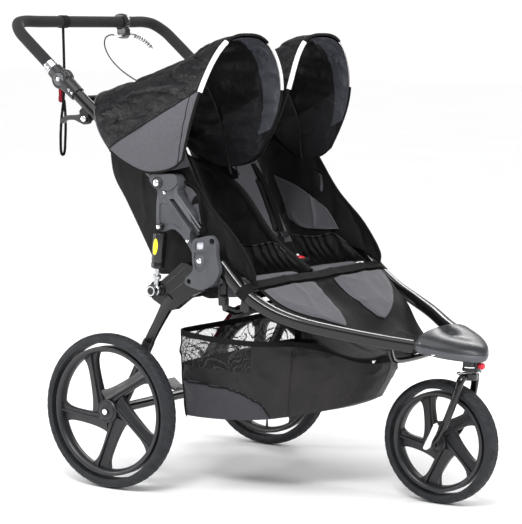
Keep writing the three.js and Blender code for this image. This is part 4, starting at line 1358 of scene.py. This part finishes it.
def canopy_grid(per, count, inset=0.0):
    """From the front edge back, and from the inner low edge to the outer one. All layers share their creases."""
    lines = [catmull([(s[k][0], 0, s[k][1]) for s in STATIONS], per) for k in range(3)]
    turns = canopy_turns(count)
    grid, guide = [], []
    for i in range(len(lines[0])):
        low, flank, crown = (line[i] for line in lines)
        row_points = []
        guide.append([hoop_point(low, flank, crown, turn, 0,
                                 soften(1 - i / (0.45 * len(lines[0])))) for turn in turns])
        full = soften(1 - i / (0.45 * len(lines[0])))
        for turn in turns:
            row_points.append(hoop_point(low, flank, crown, turn, inset, full))
        grid.append(row_points)
    out = []
    last_i, last_j = len(grid) - 1, count - 1
    for i, line in enumerate(grid):
        new = []
        for j, p in enumerate(line):
            a, b = grid[max(i - 1, 0)][j], grid[min(i + 1, last_i)][j]
            c, d = line[max(j - 1, 0)], line[min(j + 1, last_j)]
            normal = (b - a).cross(d - c).normalized()
            fade = soften(min(i / last_i, 1 - i / last_i) / 0.08) * soften(min(j / last_j,
                1 - j / last_j) / 0.05)
            at = guide[i][j]
            if above_panel(at) > 0 or at.y < CANOPY_MIDDLE_Y:
                depth = wrinkle(at, (150, 90, 46), 8.0, 0.7) + wrinkle(at, (48, 60, 24), 2.6, 4.2)
                depth *= soften(abs(above_panel(at)) / 14 + 0.25)
            else:
                depth = wrinkle(at, (110, 90, 80), 2.6, 2.2)
            new.append(p + normal * fade * depth)
        out.append(new)
    return out


def slice_off(obj, place, normal, keep_ahead):
    """Keeps the part of an object ahead of a plane, or behind it."""
    bm = bmesh.new()
    bm.from_mesh(obj.data)
    bmesh.ops.bisect_plane(bm, geom=[*bm.verts, *bm.edges, *bm.faces], dist=1e-7, plane_co=row(place),
                           plane_no=normal,
                           clear_inner=keep_ahead, clear_outer=not keep_ahead)
    bm.to_mesh(obj.data)
    bm.free()


def cut_along_panel(obj):
    """New edges where the panel line crosses a piece, so that two cloths meet in a straight line."""
    a, b = PANEL_LINE
    bm = bmesh.new()
    bm.from_mesh(obj.data)
    bmesh.ops.bisect_plane(bm, geom=[*bm.verts, *bm.edges, *bm.faces], dist=1e-7, plane_co=row(a),
                           plane_no=Vector((-(b - a).z, 0, (b - a).x)).normalized())
    bm.to_mesh(obj.data)
    bm.free()


def paint_faces(obj, choose, keep=None):
    """Gives each face the material that choose names, except faces that hold keep."""
    for face in obj.data.polygons:
        if face.material_index == keep:
            continue
        c = face.center
        face.material_index = choose(Vector((c.x * 1000 + MIDDLE_X, c.y * 1000, c.z * 1000)))


def crossing(line, test):
    """The place along a line of points where a test changes sign."""
    for a, b in zip(line, line[1:]):
        x, y = test(a), test(b)
        if x * y < 0:
            return a.lerp(b, x / (x - y))
    return None


PER, AROUND = ((18, 170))
SHELL = canopy_grid(PER, AROUND)
INNER = canopy_grid(PER, AROUND // 2, 4.5)
LOW_PLANE_START = BOW_PLACE - BOW_NORMAL * 150
HIGH_PLANE_END = BOW_PLACE + BOW_NORMAL * 90


def canopy_extras():
    """Bindings, seams and piping, as lists of (name, shape, material)."""
    front = SHELL[0]
    turns = canopy_turns(AROUND)
    parts = []
    lean = [(p - CANOPY_HEART).normalized() for p in front]
    parts.append(("binding", sweep(front, ring(3.6, 12), ups=lean), BLACK_WEB))
    for low, high, name in ((26, 67, "inner"), (112, 154, "outer")):
        chosen = [k for k, a in enumerate(turns) if math.radians(low) <= a <= math.radians(high)]
        line = [front[k] + Vector((0.6, 0, 0)) for k in chosen]
        ups = [lean[k] for k in chosen]
        parts.append((f"white_band_{name}", sweep(line, ring(6.2, 16, 3.0, 0.72), ups=ups), PIPING))
    rear = SHELL[-1]
    parts.append(("rear_piping", sweep(rear, ring(1.7, 10),
                                       ups=[(p - CANOPY_HEART).normalized() for p in rear]),
                  GREY_FABRIC))
    outer = [line[-1] for line in SHELL]
    inner = [line[0] for line in SHELL]
    for name, line in (("outer_hem", outer), ("inner_hem", inner)):
        parts.append((name, sweep(line, ring(3.0, 12)), BLACK_WEB))
    half = AROUND // 2
    seam = [crossing(line[half:], above_panel) for line in SHELL]
    seam = [p + Vector((0, 0.6, 0)) for p in seam if p]
    parts.append(("panel_seam", sweep(seam, ring(1.5, 10)), BLACK_WEB))
    at = int(len(SHELL) * 0.15)
    fold = [p + Vector((0, 0.4, 0)) for p in SHELL[at][half:] if above_panel(p) < 0]
    parts.append(("visor_seam", sweep(fold, ring(0.9, 8)), BLACK_WEB))
    return parts


EXTRAS = canopy_extras()
for side_name, side in SIDES:
    hoop = [hoop_point(Vector((118, 0, 834)), Vector((60, 0, 1055)), Vector((70, 0, 1073)), math.pi * j / 60,
                       7, 0)
            for j in range(61)]
    foot = Vector((129, 0, 791)).lerp(Vector((120, 0, 834)), 0.1)
    hoop = [Vector((foot.x, hoop[0].y, foot.z)), *hoop, Vector((foot.x, hoop[-1].y, foot.z))]
    bow = on_side(sweep(hoop, ring(2.6, 14), (1, 0, 0.1)), side)
    disc = revolve([(0, 0), (13, 0), (13, 3), (11, 4.4), (0, 4.4)], (129, 336.4 * side, 791), (0, side, 0))
    make(f"canopy_bow_{side_name}", [bow, disc], NYLON, f"canopy_middle_{side_name}",
         replaces=f"canopy_middle_bow_{side_name}", bevel=0)
    for part, ahead in (("front", True), ("rear", False)):
        blend = {
            "front": (f"canopy_middle_{side_name}", f"canopy_front_{side_name}", BOW_PLACE, HIGH_PLANE_END),
            "rear": ("upper_frame", f"canopy_middle_{side_name}", LOW_PLANE_START, BOW_PLACE),
        }[part]

        def settle(obj):
            slice_off(obj, BOW_PLACE, BOW_NORMAL, ahead)
            if not obj.data.vertices:
                bpy.data.objects.remove(obj)
                return None
            row(blend[2])
            row(blend[3])
            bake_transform(obj)
            return obj

        shell = make(f"canopy_cloth_{part}_{side_name}", [on_side(grid_shape(SHELL), side)],
                     [CRINKLED, GREY_FABRIC], sharp=80)
        cut_along_panel(shell)
        settle(shell)
        paint_faces(shell, lambda p: 1 if above_panel(p) < 0 and abs(p.y) > CANOPY_MIDDLE_Y else 0)
        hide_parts(f"canopy_{side_name}")
        lining_part = make(f"canopy_lining_{part}_{side_name}", [on_side(grid_shape(INNER), side)],
                           [NYLON, LINING, LINING_PAINTED_SHADE], sharp=80)
        columns = len(INNER[0]) - 1
        for face in lining_part.data.polygons:
            i, j = divmod(face.index, columns)
            face.material_index = 1 if i < 0.2 * (len(INNER) - 1) and 0.08 < j / columns < 0.9 else 0
        cut_along_panel(lining_part)
        # painted shade: below the panel line and behind x 222 the lining takes the darker copy of the grey
        # lining
        paint_faces(lining_part, lambda p: 2 if above_panel(p) < 0 and p.x < 222 else 0, keep=1)
        settle(lining_part)
        flat, area = flat_size(SHELL)
        for obj in (shell, lining_part):
            size = max(p.co.x for p in obj.data.vertices) - min(p.co.x for p in obj.data.vertices)
        for name, shape, look in EXTRAS:
            trim = settle(make(f"canopy_{name}_{part}_{side_name}", [on_side(shape, side)], look, sharp=70))
            if name == "binding" and ahead:
                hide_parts(f"canopy_front_bow_{side_name}")

# ------------------------------------------------------------------ seats
SEAT_HINGE = Vector((165, 0, 500))
SEAT_ANGLE = math.radians(118)
SEAT_UP = Vector((math.cos(SEAT_ANGLE), 0, math.sin(SEAT_ANGLE)))
SEAT_OUT = Vector((math.sin(SEAT_ANGLE), 0, -math.cos(SEAT_ANGLE)))


def on_back(up, y, out):
    """A place on the seat back: along it from the hinge, across, and off its middle plane."""
    p = SEAT_HINGE + SEAT_UP * up + SEAT_OUT * out
    return Vector((p.x, y, p.z))


def inflate(obj, pressure=4.0, most=8.0, voxel=6.0, frames=20):
    """Blows a closed pad up as cloth, with no vertex moving further than most millimetres."""
    remesh = obj.modifiers.new("remesh", "REMESH")
    remesh.mode = "VOXEL"
    remesh.voxel_size = voxel * MM
    remesh.use_smooth_shade = True
    bake(obj)
    before = [v.co.copy() for v in obj.data.vertices]
    blown = obj.modifiers.new("cloth", "CLOTH")
    blown.settings.quality = 5
    blown.settings.mass = 0.3
    blown.settings.use_pressure = True
    blown.settings.uniform_pressure_force = pressure
    blown.settings.effector_weights.gravity = 0
    blown.settings.tension_stiffness = 15
    blown.settings.bending_stiffness = 0.6
    scene = bpy.context.scene
    for step in range(1, frames + 1):
        scene.frame_set(step)
    bake(obj)
    scene.frame_set(1)
    for v, old in zip(obj.data.vertices, before):
        move = v.co - old
        if move.length > most * MM:
            v.co = old + move.normalized() * most * MM
    shade(obj, 80)
    smooth = obj.modifiers.new("smooth", "SUBSURF")
    smooth.levels = 1
    smooth.render_levels = 1
    bake(obj)


def pad_block(corners_low, corners_high):
    """A closed block between two loops of places."""
    n = len(corners_low)
    points = [*corners_low, *corners_high]
    faces = [list(range(n)), list(range(n, 2 * n))]
    faces += [[j, (j + 1) % n, n + (j + 1) % n, n + j] for j in range(n)]
    return points, faces


def back_panel(low, high, y_low, y_high, out_low, out_high):
    a = [on_back(low, y_low, out_low), on_back(low, y_high, out_low), on_back(high, y_high, out_low),
         on_back(high, y_low, out_low)]
    b = [on_back(low, y_low, out_high), on_back(low, y_high, out_high), on_back(high, y_high, out_high),
         on_back(high, y_low, out_high)]
    return pad_block(a, b)


def pad(name, shapes, material, body, pressure=4.0, most=8.0, voxel=6.0, replaces=()):
    """A padded piece, blown up."""
    obj = make(name, shapes, material)
    inflate(obj, pressure, most, voxel)
    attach(obj, body)
    if replaces:
        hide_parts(replaces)
    return obj


for side_name, side in SIDES:
    # The back: a padded shell, a grey face and two black shoulder pads with their webbing.
    pad(f"seat_back_pad_{side_name}", [on_side(back_panel(8, 500, 10, 290, -12, 10), side)], BLACK_FABRIC,
        f"seat_back_{side_name}", replaces=f"seat_back_{side_name}")
    pad(f"seat_face_{side_name}", [on_side(back_panel(88, 430, 36, 276, 12, 20), side)], GREY_FABRIC,
        f"seat_back_{side_name}")
    for index, y in enumerate((86, 226)):
        lean = -14 if y > 156 else 14
        low = [on_back(128, y - 24 + lean, 24), on_back(128, y + 24 + lean, 24), on_back(285, y + 23, 24),
               on_back(285, y - 23, 24)]
        high = [p + SEAT_OUT * 9 for p in low]
        pad(f"harness_pad_{index}_{side_name}", [on_side(pad_block(low, high), side)], BLACK_FABRIC,
            f"seat_back_{side_name}", voxel=4.0, most=4.0)
        strap_line = [on_back(400, y, 24), on_back(330, y, 27), on_back(288, y, 36),
                      on_back(200, y + lean / 2, 41),
                      on_back(126, y + lean, 38), on_back(96, (y + lean + 156) / 2, 44),
                      on_back(70, 156 + (y - 156) * 0.3, 52)]
        make(f"harness_strap_{index}_{side_name}",
             [on_side(sweep(catmull(strap_line, 6), strip(24, 2.4), tuple(SEAT_OUT)), side)], BLACK_WEB,
             f"seat_back_{side_name}")
        slider = on_back(112, y + lean, 41)
        make(f"harness_slider_{index}_{side_name}",
             [on_side(pad_block([slider + Vector((0, a * 16, 0)) + SEAT_UP * b * 9 for a,
                                 b in ((-1, -1), (1, -1), (1, 1), (-1, 1))],
                                [slider + Vector((0, a * 16, 0)) + SEAT_UP * b * 9 + SEAT_OUT * 5
                                 for a, b in ((-1, -1), (1, -1), (1, 1), (-1, 1))]), side)],
             PLASTIC, f"seat_back_{side_name}", bevel=2)
    buckle = [Vector((222, 130, 545)), Vector((250, 130, 548)), Vector((252, 182, 548)),
              Vector((224, 182, 545))]
    pad_low = [p + Vector((0, 0, 6)) for p in buckle]
    pad_high = [p + Vector((3, 0, 20)) for p in buckle]
    make(f"buckle_{side_name}", [on_side(pad_block(pad_low, pad_high), side)], PLASTIC, "chassis", bevel=5)
    make(f"buckle_button_{side_name}", [on_side(revolve([(0, 0), (13, 0), (13, 5), (11, 8), (0, 9.5)], (238,
        156, 563),
                                                        (0.12, 0, 1), 40), side)], RED_PLASTIC, "chassis")

CUSHION = [(198, 524), (355, 552), (384, 548), (386, 530), (352, 520), (200, 500)]
for side_name, side in SIDES:
    low = [Vector((p.x, 26, p.y)) for p in rounded(CUSHION, 8, 2)]
    high = [Vector((p.x, 264, p.z)) for p in low]
    cushion = pad(f"cushion_{side_name}", [on_side(pad_block(low, high), side)], [BLACK_FABRIC, GREY_FABRIC],
                  "chassis",
                  replaces=f"seat_cushion_{side_name}")
    paint_faces(cushion, lambda p: 1 if p.x > 262 else 0)

# Leg panel: black cloth sagging between the tubes, with a grey pad for each child.
LEG_ROWS = [(398, 547, 292), (440, 513, 283), (478, 483, 270), (516, 455, 255), (556, 412, 234),
            (600, 384, 204),
            (650, 374, 160), (700, 394, 112)]
LEG_LINE = resample([(x, w, z) for x, z, w in LEG_ROWS], 60)


def leg_surface(x, y, lift=0.0):
    for a, b in zip(LEG_LINE, LEG_LINE[1:]):
        if a.x <= x <= b.x or b is LEG_LINE[-1]:
            t = (x - a.x) / (b.x - a.x)
            c = a.lerp(b, t)
            normal = Vector((a.z - b.z, 0, b.x - a.x)).normalized()
            break
    inside = soften((1 - abs(y) / c.y) * 4)
    sag = -13 * math.exp(-(y / 55) ** 2) * soften((x - 400) / 40) + 7 * math.cos((abs(y) - 150) / 150) - 5
    fold = wrinkle(Vector((x, y, 0)), (70, 90, 50), 4.5, 5.5)
    return Vector((x, y, c.z)) + normal * (inside * (sag + fold) + lift)


leg_grid = []
for a in LEG_LINE:
    leg_grid.append([leg_surface(a.x, a.y * (-1 + 2 * j / 110)) for j in range(111)])
cloth("leg_cloth", leg_grid, BLACK_FABRIC, "chassis", thick=3,
      replaces="leg_panel")
PAD_INNER = resample([(414, 42, 0), (440, 45, 0), (472, 52, 0), (505, 64, 0), (528, 78, 0), (535, 98, 0)], 40)
PAD_OUTER = resample([(414, 284, 0), (450, 270, 0), (480, 236, 0), (506, 190, 0), (526, 140, 0),
                      (535, 98.5, 0)], 40)
for side_name, side in SIDES:
    grid = []
    for a, b in zip(PAD_INNER, PAD_OUTER):
        line = []
        for j in range(50):
            p = a.lerp(b, j / 49)
            border = soften(min(j, 49 - j) / 6)
            line.append(leg_surface(p.x, p.y * side, 2.4 + 4.0 * border))
        grid.append(line)
    cloth(f"leg_pad_{side_name}", grid, GREY_FABRIC, "chassis", thick=2)
    border = [line[0] for line in grid] + [line[-1] for line in reversed(grid[:-1])]
    make(f"leg_pad_piping_{side_name}", [sweep(border, ring(1.6, 10), (0.6, 0, 0.8))], BLACK_WEB, "chassis")

front = [leg_surface(399.5, y, 7) + Vector((-2, 0, 0)) for y in range(-288, 289, 16)]
front = [Vector((388, -322, 536)), Vector((392, -310, 544)), *front, Vector((392, 310, 544)),
         Vector((388, 322, 536))]
make("front_strap", [sweep(front, strip(26, 4), (0.5, 0, 0.86))], BLACK_WEB, "chassis")

# Side walls, the divider between the seats and their elastic pockets.
WALL_TOP = [(-52, 300, 872), (0, 300, 874), (60, 300, 864), (128, 300, 822), (196, 300, 832)]
WALL_BOTTOM = [(112, 300, 556), (150, 300, 560), (240, 300, 596), (330, 300, 586), (398, 300, 553)]
WALL_REAR = [(-52, 300, 872), (-38, 300, 800), (2, 300, 738), (62, 300, 640), (112, 300, 556)]
WALL_FRONT = [(196, 300, 832), (262, 300, 740), (349, 300, 654), (400, 300, 575), (398, 300, 553)]
DIVIDER_TOP = [(-30, 0, 842), (12, 0, 824), (141, 0, 760), (264, 0, 623), (369, 0, 551)]
DIVIDER_BOTTOM = [(146, 0, 506), (225, 0, 492), (300, 0, 515), (372, 0, 541)]
DIVIDER_REAR = [(-30, 0, 842), (58, 0, 676), (146, 0, 506)]
DIVIDER_FRONT = [(369, 0, 551), (372, 0, 546), (372, 0, 541)]


def fold_with_frame(obj):
    """Bakes the object's transform into its mesh."""
    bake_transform(obj)


def wall_cloth(name, edges, material, shape, thick, replaces=()):
    """A side wall or divider's cloth, with its transform baked into its mesh."""
    grid = patch(*edges, 90, 60, shape)
    obj = make(name, [grid_shape(grid)], material, None, replaces, thick=thick, sharp=80)
    flat, area = flat_size(grid)
    min(area, flat[0] * flat[1])
    bake(obj)
    fold_with_frame(obj)
    return grid


def sideways(y, depth, seed):
    def shape(u, v, p):
        return Vector((0, math.copysign(1, y) * edge_fade(u, v, 0.1) * wrinkle(p, (70, 90, 110), depth, seed),
                       0))
    return shape


for side_name, side in SIDES:
    edges = [[(x, y * side, z) for x, y, z in line] for line in (WALL_TOP, WALL_BOTTOM, WALL_REAR,
                                                                 WALL_FRONT)]
    wall_cloth(f"wall_cloth_{side_name}", edges, BLACK_FABRIC, sideways(side, 6, 1.4), 2.4,
               f"side_wall_{side_name}")
    hem = make(f"wall_hem_{side_name}", [on_side(sweep(resample(WALL_FRONT, 40), ring(4.4, 14, 3.0, 0.7)),
                                                 side)], BLACK_WEB)
    fold_with_frame(hem)
    leaf = [[(59, 772), (132, 747), (185, 718), (233, 689)], [(109, 657), (153, 634), (215, 632), (272, 636)],
            [(59, 772), (89, 708), (109, 657)], [(233, 689), (252, 666), (272, 636)]]
    edges = [[(x, 293 * side, z) for x, z in line] for line in leaf]
    wall_cloth(f"wall_leaf_{side_name}", edges, GREY_FABRIC, sideways(-side, 5, 2.4), 2)
    loop = [(172, 799), (211, 785), (229, 764), (234, 733), (243, 698), (252, 676)]
    loop = make(f"wall_loop_{side_name}", [on_side(sweep(resample([(x + 8, 304, z) for x, z in loop], 40),
                                                         strip(3, 15)), side)],
                BLACK_WEB)
    fold_with_frame(loop)
    window = [[(176, 790), (205, 779), (222, 762)], [(214, 716), (226, 700), (236, 690)],
              [(176, 790), (196, 752), (214, 716)],
              [(222, 762), (228, 728), (236, 690)]]
    edges = [[(x + 4, 302.4 * side, z) for x, z in line] for line in window]
    wall_cloth(f"wall_grey_{side_name}", edges, GREY_FABRIC, sideways(side, 2, 2.1), 1.2)

wall_cloth("divider_cloth", [DIVIDER_TOP, DIVIDER_BOTTOM, DIVIDER_REAR, DIVIDER_FRONT], BLACK_FABRIC,
           sideways(1, 5, 6.1), 8)
band = make("divider_band", [sweep(resample(DIVIDER_TOP[1:], 60), ring(9, 20, 3.4, 1.0),
                                   grow=lambda t: 0.9 + 0.35 * soften((t - 0.5) * 2))], BLACK_WEB)
fold_with_frame(band)

POCKET_TOP = [(100, 0, 640), (118, 0, 618), (150, 0, 609), (205, 0, 611), (262, 0, 622), (300, 0, 600)]
POCKET_BOTTOM = [(178, 0, 512), (230, 0, 528), (300, 0, 545), (362, 0, 556)]
POCKET_REAR = [(100, 0, 640), (140, 0, 570), (178, 0, 512)]
POCKET_FRONT = [(300, 0, 600), (334, 0, 577), (362, 0, 556)]
for index, (y, out) in enumerate(((-5, -1), (5, 1), (294, -1), (-294, 1))):
    def gathered(u, v, p, out=out, index=index):
        swell = math.sin(math.pi * min(1, v * 1.1)) * 13 * math.sin(math.pi * u) ** 0.5
        pleats = math.sin(u * 46 + 2.4 * math.sin(u * 9 + index) + 1.2 * v) * 3.4 * (1
            - v) ** 0.6 * edge_fade(u, 0.5, 0.08)
        return Vector((0, out * (swell + pleats + wrinkle(p, (26, 60, 60), 3.0, index)), 0))
    edges = [[(x, y + out * 3, z) for x, _, z in line] for line in (POCKET_TOP, POCKET_BOTTOM, POCKET_REAR,
                                                                    POCKET_FRONT)]
    grid = wall_cloth(f"pocket_{index}", edges, BLACK_FABRIC, gathered, 2)
    hem = make(f"pocket_hem_{index}", [sweep([p + Vector((0, out * 1.5, 0)) for p in grid[0]], ring(3.4,
        12))], NYLON)
    fold_with_frame(hem)

# ------------------------------------------------------------------ red strap, small parts
STRAP = [(4, 0, 219), (30, 0, 278), (58, 0, 331), (124, 0, 424), (150, 0, 447)]
strap = make("pull_strap", [sweep(catmull(STRAP, 10), strip(21, 2.6), (0.7, 0, -0.7))], RED_WEB,
             replaces="release_strap")
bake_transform(strap)
for side_name, side in SIDES:
    make(f"under_clip_{side_name}", [on_side(plate([(372, 516), (392, 506), (396, 486), (378, 480), (366,
        492)], 296, 314, 3), side),
                                     on_side(plate([(300, 520), (322, 512), (322, 494), (302, 492)], 296, 314,
                                                   3), side)],
         PLASTIC, "chassis", bevel=1.5)
    make(f"canopy_tag_{side_name}", [on_side(plate([(-36, 872), (-22, 868), (-26, 848), (-38, 852)], 303, 306,
                                                   2), side)],
         RED_WEB, "upper_frame", bevel=0.6)

size = {"cad": CAD_BOX, "visual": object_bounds()}
{key: [list(corner) for corner in value] for key, value in size.items()}
